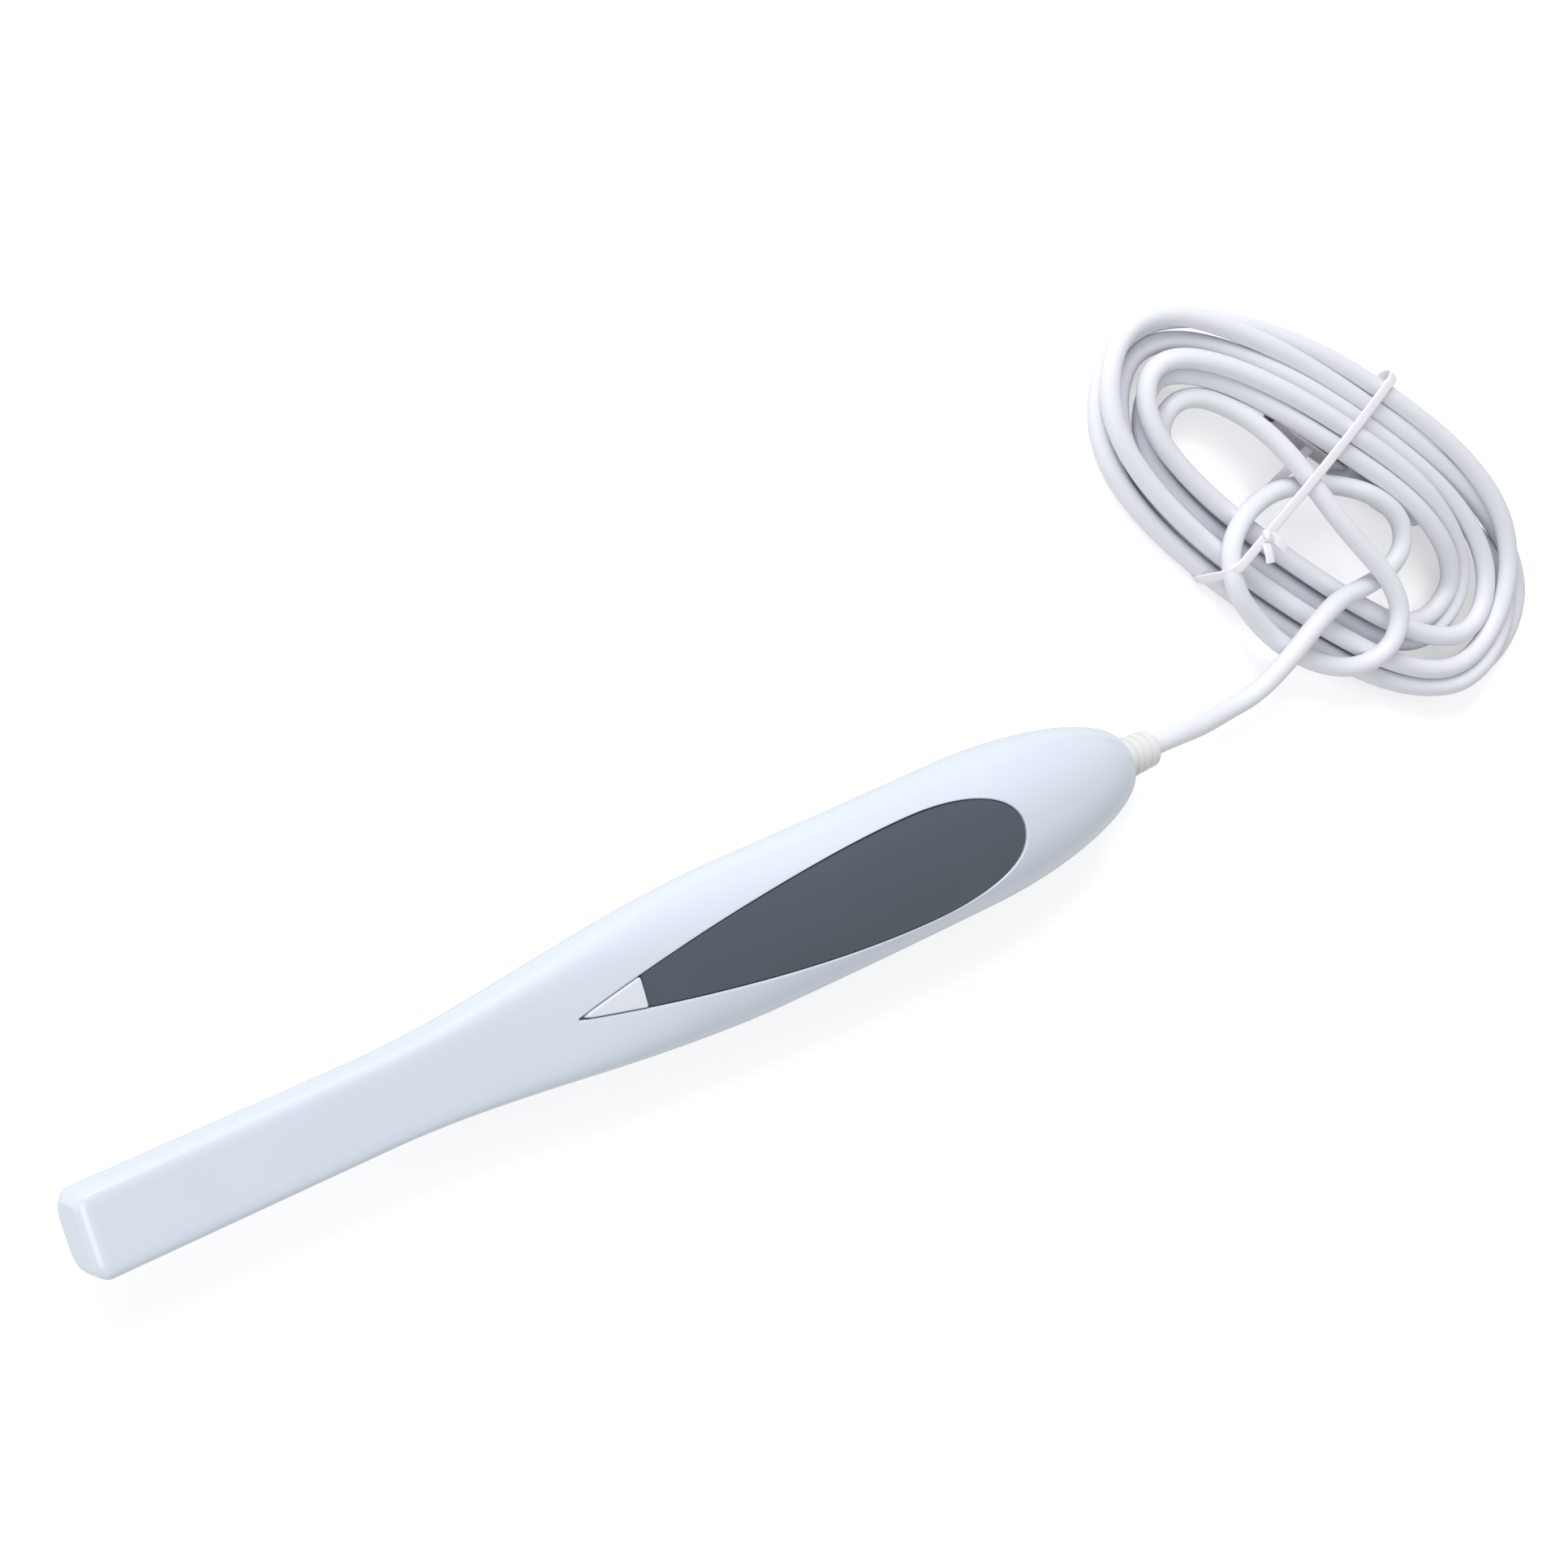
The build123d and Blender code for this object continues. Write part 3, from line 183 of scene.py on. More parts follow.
cable_curve = bpy.data.curves.new("cable", "CURVE")
cable_curve.dimensions = "3D"
cable_curve.bevel_depth = CABLE_RADIUS * MM
cable_curve.bevel_resolution = 6
cable_curve.resolution_u = 10
cable_curve.use_fill_caps = True
spline = cable_curve.splines.new("NURBS")
spline.points.add(count - 1)
spline.points.foreach_set("co", np.column_stack([route * MM, np.ones(count)]).ravel())
spline.order_u = 3
spline.use_endpoint_u = True
cable = bpy.data.objects.new("cable", cable_curve)
bpy.context.collection.objects.link(cable)


class Value:
    """A socket of a shader. Sums and products of sockets and numbers add Math nodes."""

    def __init__(self, finish, socket):
        self.finish = finish
        self.socket = socket

    def math(self, operation, other):
        return self.finish.node("ShaderNodeMath", {"operation": operation}, {0: self, 1: other})

    def __add__(self, other):
        return self.math("ADD", other)

    def __mul__(self, other):
        return self.math("MULTIPLY", other)

    __radd__ = __add__
    __rmul__ = __mul__


class Finish:
    """A material, written as expressions on sockets."""

    def __init__(self, name):
        self.material = bpy.data.materials.new(name)
        self.material.use_nodes = True
        self.tree = self.material.node_tree
        self.tree.nodes.clear()
        self.place = self.node("ShaderNodeTexCoord", {}, {}, "Object")

    def node(self, kind, settings, sockets, output=0):
        """Adds a node: its settings first, then the values or links of its sockets."""
        made = self.tree.nodes.new(kind)
        for key, value in settings.items():
            setattr(made, key, value)
        for key, value in sockets.items():
            if isinstance(value, Value):
                self.tree.links.new(value.socket, made.inputs[key])
            else:
                made.inputs[key].default_value = value
        return Value(self, made.outputs[output]) if len(made.outputs) else None

    def grain(self, scale, detail=3.0, stretch=(1.0, 1.0, 1.0)):
        """Soft noise from 0 to 1 with features about 1 / scale metres across."""
        place = self.node("ShaderNodeMapping", {}, {0: self.place, "Scale": stretch})
        return self.node("ShaderNodeTexNoise", {}, {"Vector": place, "Scale": scale, "Detail": detail}, "Fac")

    def mix(self, factor, first, second):
        """Colour between first and second: sockets 6 and 7 and output 2 of a Mix node are its colours."""
        return self.node("ShaderNodeMix", {"data_type": "RGBA"}, {0: factor, 6: first, 7: second}, 2)

    def bump(self, height, strength):
        """Normal of a relief a tenth of a millimetre deep."""
        return self.node("ShaderNodeBump", {}, {"Height": height, "Strength": strength,
                                                "Distance": RELIEF_DEPTH}, "Normal")

    def surface(self, **sockets):
        """Closes the material with a Principled shader whose sockets are given by name."""
        named = {key.replace("_", " "): value for key, value in sockets.items()}
        shader = self.node("ShaderNodeBsdfPrincipled", {}, named, "BSDF")
        self.node("ShaderNodeOutputMaterial", {}, {0: shader})
        return self.material


RELIEF_DEPTH = 0.0001
DRIFT_SCALE = 45.0
GLOSS_SCALE = 160.0
GLOSS_BASE, GLOSS_SPREAD = 0.85, 0.3
FINE_DETAIL = 4.0


def plastic(name, colour, shade, roughness, relief=0.03, scale=900.0, **sockets):
    """Moulded plastic: a faint drift of colour, uneven gloss and the fine relief of the tool."""
    finish = Finish(name)
    drift = finish.grain(DRIFT_SCALE)
    fine = finish.grain(scale, FINE_DETAIL)
    return finish.surface(
        Base_Color=finish.mix(drift, (*colour, 1), (*shade, 1)),
        Roughness=roughness * GLOSS_BASE + finish.grain(GLOSS_SCALE) * (roughness * GLOSS_SPREAD),
        Normal=finish.bump(fine, relief), **sockets)


def dress(piece, material, body, slot, *nodes):
    """Gives a finished piece its material and the body it rides on, and hides the CAD nodes it stands for."""
    piece.data.materials.clear()
    piece.data.materials.append(material)
    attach(piece, body)
    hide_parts(*nodes)


jacket_white = plastic("cable_jacket", (0.84, 0.855, 0.90), (0.81, 0.825, 0.875), 0.42, 0.12, 700.0, IOR=1.45)
dress(cable, jacket_white, "housing", "cable_jacket", "cable_lead", "cable_coil")

# Upper shell
# Moulded in white gloss ABS. It keeps the whole nose, meets the lower shell at a seam low on the side, and
# carries the leaf-shaped recess for the button and the inlay. Each section is a superellipse.
LENGTH = 198.0
TIP_X = -LENGTH / 2
NECK_WIDTH, GRIP_WIDTH = 13.2, 25.5
NECK_TOP, NECK_BOTTOM, NECK_MIDDLE = 15.0, 5.0, 10.0
GRIP_TOP, GRIP_MIDDLE, TAIL_RADIUS = 20.0, 10.8, 4.4
FLARE_START = TIP_X + 47.0
FLARE_END = FLARE_START + 70.0
TAIL_LENGTH = 36.5
TAIL_START = TAIL_X - TAIL_LENGTH
TIP_ROUNDING, NOSE_DRAW, NOSE_WALL = 2.0, 0.75, 2.6
CROWN_START, CROWN_END = FLARE_START + 22.0, FLARE_END + 37.0
BELLY_END = FLARE_END - 18.0
OVAL_START, OVAL_END = FLARE_START + 2.0, FLARE_END - 8.0
TOP_POWERS = 8.0, 2.2
BOTTOM_POWERS = 3.0, 2.3
TAIL_POWER, TAIL_BLUNTNESS = 2.0, 0.62
SEAM_Z = 6.6
EDGE_ROLL = 0.22
SIDE_COLUMNS = 64


def blend(x, start, end):
    """Smooth step from 0 before start to 1 after end: t * t * (3 - 2 t)."""
    t = np.clip((x - start) / (end - start), 0.0, 1.0)
    return t * t * (3 - 2 * t)


def tail_share(x):
    """1 along the body, (1 - t * t) to the bluntness power in the tail."""
    t = np.clip((x - TAIL_START) / TAIL_LENGTH, 0.0, 1.0)
    return (1 - t * t) ** TAIL_BLUNTNESS


def nose_inset(x):
    """How far the rounded edge of the nose draws the section in: a parabola over the rounding."""
    short = np.clip(1 - (x - TIP_X) / TIP_ROUNDING, 0.0, None)
    return TIP_ROUNDING * NOSE_DRAW * short ** 2


def taper(x, size):
    """The size along the body, closing in to the tail's radius."""
    return TAIL_RADIUS + (size - TAIL_RADIUS) * tail_share(x)


def middle_z(x):
    """Height of the widest level, rising into the grip and falling to the tail."""
    return (NECK_MIDDLE + (GRIP_MIDDLE - NECK_MIDDLE) * blend(x, FLARE_START, FLARE_END)
            - (GRIP_MIDDLE - TAIL_Z) * blend(x, FLARE_END, TAIL_X))


def half_width(x):
    """Half the section's width, drawn in at the nose."""
    body = NECK_WIDTH + (GRIP_WIDTH - NECK_WIDTH) * blend(x, FLARE_START, FLARE_END)
    return taper(x, body / 2) - nose_inset(x)


def top_height(x):
    """Crown above the widest level."""
    crown_z = NECK_TOP + (GRIP_TOP - NECK_TOP) * blend(x, CROWN_START, CROWN_END)
    return taper(x, crown_z - middle_z(x)) - nose_inset(x)


def bottom_depth(x):
    """Belly below the widest level."""
    belly_z = NECK_BOTTOM * (1 - blend(x, FLARE_START, BELLY_END))
    return taper(x, middle_z(x) - belly_z) - nose_inset(x)


def section_power(x, powers):
    """Squareness of the section: the neck's, easing to the grip's and then to the tail's circle."""
    neck, grip = powers
    power = neck + (grip - neck) * blend(x, OVAL_START, OVAL_END)
    return TAIL_POWER + (power - TAIL_POWER) * tail_share(x)


def skin(x, turn):
    """Point at angle turn round the section: (cos, sin) times the superellipse's swell, from its middle."""
    c, s = np.cos(turn), np.sin(turn)
    power = np.where(s >= 0, section_power(x, TOP_POWERS), section_power(x, BOTTOM_POWERS))
    swell = (np.abs(c) ** power + np.abs(s) ** power) ** (-1 / power)
    reach = np.where(s >= 0, top_height(x), bottom_depth(x))
    return np.stack([x + 0 * turn, c * swell * half_width(x), s * swell * reach + middle_z(x)], axis=-1)


def arch(x, y, powers):
    """The section's height over y as a share of its reach: (1 - |y / half width| ** power) ** (1 / power)."""
    power = section_power(x, powers)
    across = np.clip(np.abs(y) / half_width(x), 0, 1)
    return (1 - across ** power) ** (1 / power)


def crown(x, y):
    """Height of the upper skin over (x, y)."""
    return middle_z(x) + top_height(x) * arch(x, y, TOP_POWERS)


def belly(x, y):
    """Height of the lower skin under (x, y)."""
    return middle_z(x) - bottom_depth(x) * arch(x, y, BOTTOM_POWERS)


def side_turn(x, y, powers):
    """Angle at which the section passes y: arc tangent of its height's share over its width's."""
    return np.arctan2(arch(x, y, powers), np.clip(y / half_width(x), 0, 1))


def seam_turn(x):
    """Angle at which the section passes the seam: arc tangent of its depth's share over its width's."""
    power = section_power(x, BOTTOM_POWERS)
    drop = np.clip((middle_z(x) - SEAM_Z) / bottom_depth(x), 0, 1)
    return -np.arctan2(drop, (1 - drop ** power) ** (1 / power))


# Leaf outline of the recess, the button and the inlay
LEAF_TIP_X = TIP_X + 81.5
LEAF_END_X = TAIL_X - 31.0
LEAF_ROUND = 20.0
LEAF_WIDE_X = LEAF_END_X - LEAF_ROUND
LEAF_EASE, LEAF_SWELL, LEAF_BLUNTNESS = 0.305, 4.7, 0.756
LEAF_TIP_POINTS, LEAF_FRONT_POINTS, LEAF_REAR_POINTS = 8, 70, 44
LEAF_TIP_TRIM = 0.02
INLAY_WIDTH = 17.2
LEAF_GAP = 0.19


def bezier(corners, points):
    """Points of a cubic Bezier curve: its four corners weighted by the Bernstein polynomials."""
    t = np.linspace(0, 1, points)
    weights = np.stack([(1 - t) ** 3, 3 * t * (1 - t) ** 2, 3 * t * t * (1 - t), t ** 3], axis=-1)
    return weights @ np.array(corners)


def leaf_side(grow):
    """Half of the leaf's plan outline, grown evenly: an arc at the tip and two Bezier curves."""
    half = INLAY_WIDTH / 2 + grow
    reach = (LEAF_WIDE_X - LEAF_TIP_X) * LEAF_EASE
    slope = math.atan2(LEAF_SWELL, reach)
    back, out = grow * math.sin(slope), grow * math.cos(slope)
    end_x = LEAF_END_X + grow
    front = bezier([(LEAF_TIP_X - back, out), (LEAF_TIP_X + reach - back, LEAF_SWELL + out),
                    (LEAF_WIDE_X - reach, half), (LEAF_WIDE_X, half)], LEAF_FRONT_POINTS)
    rear = bezier([(LEAF_WIDE_X, half), (LEAF_WIDE_X + LEAF_ROUND / 2, half),
                   (end_x, half * LEAF_BLUNTNESS), (end_x, 0)], LEAF_REAR_POINTS)
    if grow > 0:
        arc = np.linspace(math.pi, math.pi / 2 + slope, LEAF_TIP_POINTS, endpoint=False)
        tip = np.stack([LEAF_TIP_X + grow * np.cos(arc), grow * np.sin(arc)], axis=-1)
    else:
        front = front[front[:, 1] > LEAF_TIP_TRIM]
        tip = np.array([(LEAF_TIP_X - grow / math.sin(slope), 0.0)])
    side = np.vstack([tip, front, rear[1:]])
    side[0, 1] = side[-1, 1] = 0.0
    return side


MERGE_DISTANCE, DEGENERATE_LENGTH = 2e-6, 1e-7
SHELL_SMOOTH, PANEL_SMOOTH, TIE_SMOOTH = 35, 40, 50


def grid_faces(rows, columns):
    """Quads of a grid of rows * columns points."""
    corner = np.arange(rows * columns).reshape(rows, columns)
    quads = [corner[:-1, :-1], corner[:-1, 1:], corner[1:, 1:], corner[1:, :-1]]
    return np.stack(quads, axis=-1).reshape(-1, 4)


def build(name, grids, smooth_angle=SHELL_SMOOTH):
    """One mesh of several grids of points in millimetres, with doubles merged and faces turned outwards."""
    points, faces, start = [], [], 0
    for grid in grids:
        rows, columns = grid.shape[:2]
        points.append(grid.reshape(-1, 3) * MM)
        faces.append(grid_faces(rows, columns) + start)
        start += rows * columns
    mesh = bpy.data.meshes.new(name)
    mesh.from_pydata(np.vstack(points).tolist(), [], np.vstack(faces).tolist())
    work = bmesh.new()
    work.from_mesh(mesh)
    bmesh.ops.remove_doubles(work, verts=work.verts, dist=MERGE_DISTANCE)
    bmesh.ops.dissolve_degenerate(work, edges=work.edges, dist=DEGENERATE_LENGTH)
    bmesh.ops.recalc_face_normals(work, faces=work.faces)
    work.to_mesh(mesh)
    work.free()
    mesh.polygons.foreach_set("use_smooth", np.ones(len(mesh.polygons), dtype=bool))
    mesh.set_sharp_from_angle(angle=math.radians(smooth_angle))
    piece = bpy.data.objects.new(name, mesh)
    bpy.context.collection.objects.link(piece)
    return piece


def outline_normals(outline):
    """Unit normals that point out of a closed loop, from the directions to its neighbours."""
    loop = outline[:-1]
    along = np.roll(loop, -1, axis=0) - np.roll(loop, 1, axis=0)
    normal = np.stack([along[:, 1], -along[:, 0]], axis=-1)
    normal /= np.maximum(np.linalg.norm(normal, axis=1, keepdims=True), NEGLIGIBLE)
    normal *= np.sign(np.sum(normal * (loop - loop.mean(axis=0)), axis=1).sum())
    return np.vstack([normal, normal[:1]])


ROLL_STEPS = 5


def rolled_wall(outline, skin_height, roll, depth, way, up=1.0):
    """Edge of an opening or a panel: a quarter round of radius roll from the skin, then a straight wall.
    way is -1 where it rolls into an opening and +1 where it rolls off a panel."""
    normal = outline_normals(outline)
    rows = []
    for bend in np.linspace(0, math.pi / 2, ROLL_STEPS):
        place = outline + way * roll * math.sin(bend) * normal
        level = skin_height(outline[:, 0], outline[:, 1]) - up * roll * (1 - math.cos(bend))
        rows.append(np.column_stack([place, level]))
    foot = rows[-1].copy()
    foot[:, 2] -= up * depth
    return np.stack(rows + [foot])


LIP_STEPS, LIP_DEPTH = 4, 0.8
BOOT_RADIUS = 3.7
RIM_WIDTH, RIM_DEPTH = 0.35, 0.3
HOLE_EASE, HOLE_DEPTH = 0.06, 4.0


def seam_lip(edge):
    """Level ledge along the seam, inwards from the skin's edge: EDGE_ROLL in widening rows, then LIP_DEPTH."""
    rows = []
    for bend in np.linspace(0, math.pi / 2, LIP_STEPS):
        place = edge.copy()
        place[:, 1] -= EDGE_ROLL * (1 - math.cos(bend))
        rows.append(place)
    shelf = rows[-1].copy()
    shelf[:, 1] -= np.minimum(LIP_DEPTH, shelf[:, 1])
    return np.stack(rows + [shelf], axis=1)


def tail_end(last, turns_used):
    """End of the tail: the last section, then the rim and the wall of the cable's hole."""
    rows = [last]
    for depth, radius in ((0.0, BOOT_RADIUS + RIM_WIDTH), (RIM_DEPTH, BOOT_RADIUS + HOLE_EASE),
                          (HOLE_DEPTH, BOOT_RADIUS + HOLE_EASE)):
        rows.append(np.stack([TAIL_X - depth + 0 * turns_used, radius * np.cos(turns_used),
                              TAIL_Z + radius * np.sin(turns_used)], axis=-1))
    return np.stack(rows)


def both_sides(grid):
    """A grid of the +y side and its mirror image."""
    return [grid, grid * (1, -1, 1)]


NOSE_STEPS = np.array([0, 0.02, 0.06, 0.12, 0.2, 0.3, 0.42, 0.55, 0.7, 0.85, 1.0, 1.15])
NECK_ROWS_START, NECK_ROW, LEAF_LEAD = 4, 1.3, 0.5
TAIL_ROWS, TAIL_ROWS_START = 40, 1.0
RECESS_DEPTH = 1.5
FLOOR_COLUMNS = CAP_RINGS = 9
recess_side = leaf_side(LEAF_GAP + EDGE_ROLL)
tail_angle = math.asin((LEAF_END_X + TAIL_ROWS_START - TAIL_START) / TAIL_LENGTH)
stations = np.concatenate([
    TIP_X + TIP_ROUNDING * NOSE_STEPS, [TIP_X + NOSE_WALL],
    np.arange(TIP_X + NECK_ROWS_START, recess_side[0, 0] - LEAF_LEAD, NECK_ROW), recess_side[:, 0],
    TAIL_START + TAIL_LENGTH * np.sin(np.linspace(tail_angle, math.pi / 2, TAIL_ROWS))])
rows_before = len(stations) - len(recess_side) - TAIL_ROWS
inner = np.concatenate([np.zeros(rows_before), recess_side[:, 1], np.zeros(TAIL_ROWS)])
share_of_side = np.linspace(0, 1, SIDE_COLUMNS)
from_turn = side_turn(stations, inner, TOP_POWERS)[:, None]
to_turn = seam_turn(stations)[:, None]
turns = from_turn + (to_turn - from_turn) * share_of_side
upper = skin(stations[:, None], turns)
nose = stations <= TIP_X + NOSE_WALL + NEGLIGIBLE
chin_turns = to_turn[nose] + (-math.pi / 2 - to_turn[nose]) * share_of_side
chin = skin(stations[nose][:, None], chin_turns)
cap_line = np.vstack([upper[0], chin[0][1:]])
cap_middle = np.array([TIP_X, 0, cap_line[:, 2].mean()])
cap = cap_middle + (cap_line - cap_middle) * np.linspace(0, 1, CAP_RINGS)[:, None, None]
lip = seam_lip(upper[~nose][:, -1])
recess_outline = np.vstack([recess_side, recess_side[-2:0:-1] * (1, -1), recess_side[:1]])
recess_wall = rolled_wall(recess_outline, crown, EDGE_ROLL, RECESS_DEPTH, -1)
foot_x, foot_y, foot_z = (recess_wall[-1][: len(recess_side), axis, None] for axis in range(3))
across = np.linspace(-1, 1, FLOOR_COLUMNS)
recess_floor = np.stack([foot_x + 0 * across, foot_y * across, foot_z + 0 * across], axis=-1)
top_shell = build("top_shell_gloss", both_sides(upper) + both_sides(chin) + both_sides(cap) + both_sides(lip)
                  + both_sides(tail_end(upper[-1], turns[-1])) + [recess_wall, recess_floor])
SHELL_WHITE, SHELL_SHADE = (0.70, 0.76, 0.84), (0.675, 0.735, 0.82)
upper_gloss = plastic("white_gloss_upper", SHELL_WHITE, SHELL_SHADE, 0.2, 0.015, 1400.0,
                      IOR=1.5, Coat_Weight=0.35, Coat_Roughness=0.1)
dress(top_shell, upper_gloss, "housing", "white_shell", "top_shell")

# Lower shell
# The lower half of the same white ABS, held by screws from under the inlay. It stops behind the nose,
# and the round lens window is glued into its floor.
WINDOW_X = TIP_X + 11.0
WINDOW_HOLE, WINDOW_STATIONS = 4.4, 41
WINDOW_ROLL, WINDOW_WALL = 0.12, 0.9
FRONT_STEPS = np.array([0.12, 0.3, 1.1])
FRONT_WALL = 0.9
GRIP_ROWS_START, GRIP_ROW, GRIP_ROWS_END = 1.2, 1.4, 5
LOWER_TAIL_ROWS, LOWER_TAIL_ANGLE = 48, 0.2
SEAM_GAP = 0.05


def window_side(x):
    """Half width of the window's hole at x: a circle's, and nothing beyond it."""
    return np.sqrt(np.clip(WINDOW_HOLE ** 2 - (x - WINDOW_X) ** 2, 0, None))


window_x = WINDOW_X - WINDOW_HOLE * np.cos(np.linspace(0, math.pi, WINDOW_STATIONS))
lower_x = np.concatenate([
    TIP_X + NOSE_WALL + FRONT_STEPS, window_x,
    np.arange(window_x[-1] + GRIP_ROWS_START, TAIL_START + GRIP_ROWS_END, GRIP_ROW),
    TAIL_START + TAIL_LENGTH * np.sin(np.linspace(LOWER_TAIL_ANGLE, math.pi / 2, LOWER_TAIL_ROWS))])
last_angle = -side_turn(lower_x, window_side(lower_x), BOTTOM_POWERS)[:, None]
first_angle = seam_turn(lower_x)[:, None]
lower_turns = first_angle + (last_angle - first_angle) * share_of_side
lower = skin(lower_x[:, None], lower_turns)
lower_lip = seam_lip(lower[:, 0])
lower_lip[:, :, 2] -= SEAM_GAP
lower[:, 0, 2] -= SEAM_GAP
window_half = np.column_stack([window_x, window_side(window_x)])
hole_outline = np.vstack([window_half, window_half[-2::-1] * (1, -1)])
window_wall = rolled_wall(hole_outline, belly, WINDOW_ROLL, WINDOW_WALL, -1, -1.0)
front_wall = np.stack([lower[0], lower[0] + (0, 0, FRONT_WALL)])
bottom_shell = build("bottom_shell_gloss", both_sides(lower) + both_sides(lower_lip) + both_sides(front_wall)
                     + both_sides(tail_end(lower[-1], lower_turns[-1])) + [window_wall])
lower_gloss = plastic("white_gloss_lower", SHELL_WHITE, SHELL_SHADE, 0.24, 0.015, 1400.0,
                      IOR=1.5, Coat_Weight=0.3, Coat_Roughness=0.12)
dress(bottom_shell, lower_gloss, "housing", "white_shell", "bottom_shell")

# Inlay
# A slate panel of satin plastic, pressed into the rear of the leaf-shaped recess. Its face follows the
# grip's crown a little below the skin, and its front end is cut square against the button.
PANEL_COLUMNS = 31
PANEL_DEPTH = 1.1
SQUARE_END = 0.01
LEAF_SPLIT_X = LEAF_TIP_X + 11.6
INLAY_SUNK = 0.3
INLAY_ROLL = 0.2


def cut_side(side, start=-math.inf, end=math.inf):
    """The part of a half outline between two stations, with its ends worked out by straight lines."""
    rows = [side[(side[:, 0] > start) & (side[:, 0] < end)]]
    if start > side[0, 0]:
        rows.insert(0, [(start, np.interp(start, side[:, 0], side[:, 1]))])
    if end < side[-1, 0]:
        rows.append([(end, np.interp(end, side[:, 0], side[:, 1]))])
    return np.vstack(rows)


def ring(side, across):
    """Closed loop of a panel: its +y side, any square rear end, its -y side and any square front end."""
    square_front, square_rear = side[0, 1] > SQUARE_END, side[-1, 1] > SQUARE_END
    parts = [side]
    if square_rear:
        parts.append(np.column_stack([side[-1, 0] + 0 * across[1:-1], -across[1:-1] * side[-1, 1]]))
    mirrored = side[::-1] * (1, -1)
    parts.append(mirrored[0 if square_rear else 1: len(side) if square_front else -1])
    if square_front:
        parts.append(np.column_stack([side[0, 0] + 0 * across[1:-1], across[1:-1] * side[0, 1]]))
    return np.vstack(parts + [side[:1]])


def panel(name, side, level, roll):
    """A panel in the recess: rows along its outline, level(x, y) across it, a rolled edge and a wall."""
    across = np.linspace(-1, 1, PANEL_COLUMNS)
    x = side[:, :1] + 0 * across
    y = side[:, 1:] * across
    face = np.stack([x, y, level(x, y)], axis=-1)
    return build(name, [face, rolled_wall(ring(side, across), level, roll, PANEL_DEPTH, 1)], PANEL_SMOOTH)


inlay = panel("inlay_panel", cut_side(leaf_side(-INLAY_ROLL), start=LEAF_SPLIT_X + INLAY_ROLL),
              lambda x, y: crown(x, y) - INLAY_SUNK, INLAY_ROLL)
slate = plastic("slate_satin", (0.072, 0.094, 0.118), (0.062, 0.082, 0.105), 0.26, 0.05, 1100.0,
                IOR=1.5, Coat_Weight=0.4, Coat_Roughness=0.14)
dress(inlay, slate, "housing", "slate_panel", "inlay")

# Capture button
# A small triangular key of white plastic in the point of the leaf, domed a little above the skin. It slides
# down half a millimetre onto the switch under it.
BUTTON_GAP = 0.22
BUTTON_ROLL = 0.24
BUTTON_DOME, DOME_HALF_WIDTH = 0.22, 4.5
button = panel("button_key", cut_side(leaf_side(-BUTTON_ROLL), end=LEAF_SPLIT_X - BUTTON_GAP - BUTTON_ROLL),
               lambda x, y: crown(x, y) + BUTTON_DOME * (1 - (y / DOME_HALF_WIDTH) ** 2), BUTTON_ROLL)
key_white = plastic("button_white", (0.76, 0.785, 0.85), (0.745, 0.77, 0.835), 0.3, 0.03, 1200.0, IOR=1.47)
dress(button, key_white, "button", "button_white", "capture_button")

# Strain relief
# A short soft boot of white elastomer with three grooves, held by its flange in the tail. It is a profile
# turned round the cable: a cone, less a smooth notch for each groove and a quarter round at its end.
BOOT_LENGTH = 7.6
BOOT_END_RADIUS = 3.25
BOOT_ROOT, BOOT_MOUTH = -4.0, 0.6
BOOT_SLEEVE_START, BOOT_STEPS = -1.0, 150
BOOT_ROUNDING, ROUNDING_START, ROUNDING_STEPS = 0.5, 0.1, 10
BOOT_HOLE_EASE = 0.04
BOOT_COLUMNS = 73
GROOVES = (1.9, 3.7, 5.5)
GROOVE_WIDTH, GROOVE_DEPTH = 0.55, 0.45
sleeve_end = BOOT_LENGTH - BOOT_ROUNDING
rounding = np.sin(np.linspace(ROUNDING_START, math.pi / 2, ROUNDING_STEPS))
boot_x = np.concatenate([[BOOT_ROOT], np.linspace(BOOT_SLEEVE_START, sleeve_end, BOOT_STEPS),
                         sleeve_end + BOOT_ROUNDING * rounding, [BOOT_LENGTH, BOOT_LENGTH - BOOT_MOUTH]])
boot_r = BOOT_RADIUS + (BOOT_END_RADIUS - BOOT_RADIUS) * np.clip(boot_x / BOOT_LENGTH, 0, 1)
for groove in GROOVES:
    boot_r -= GROOVE_DEPTH * np.exp(-((boot_x - groove) / (0.5 * GROOVE_WIDTH)) ** 4)
past_sleeve = np.clip((boot_x - sleeve_end) / BOOT_ROUNDING, 0, 1)
boot_r -= BOOT_ROUNDING * (1 - np.sqrt(1 - past_sleeve ** 2))
boot_r[-2:] = CABLE_RADIUS + BOOT_HOLE_EASE
around = np.linspace(0, 2 * math.pi, BOOT_COLUMNS)
boot_grid = np.stack([TAIL_X + boot_x[:, None] + 0 * around, boot_r[:, None] * np.cos(around),
                      TAIL_Z + boot_r[:, None] * np.sin(around)], axis=-1)
boot = build("strain_relief_boot", [boot_grid])
boot_white = plastic("soft_boot", (0.80, 0.80, 0.80), (0.77, 0.77, 0.775), 0.5, 0.15, 900.0, IOR=1.45)
dress(boot, boot_white, "housing", "soft_boot", "strain_relief")

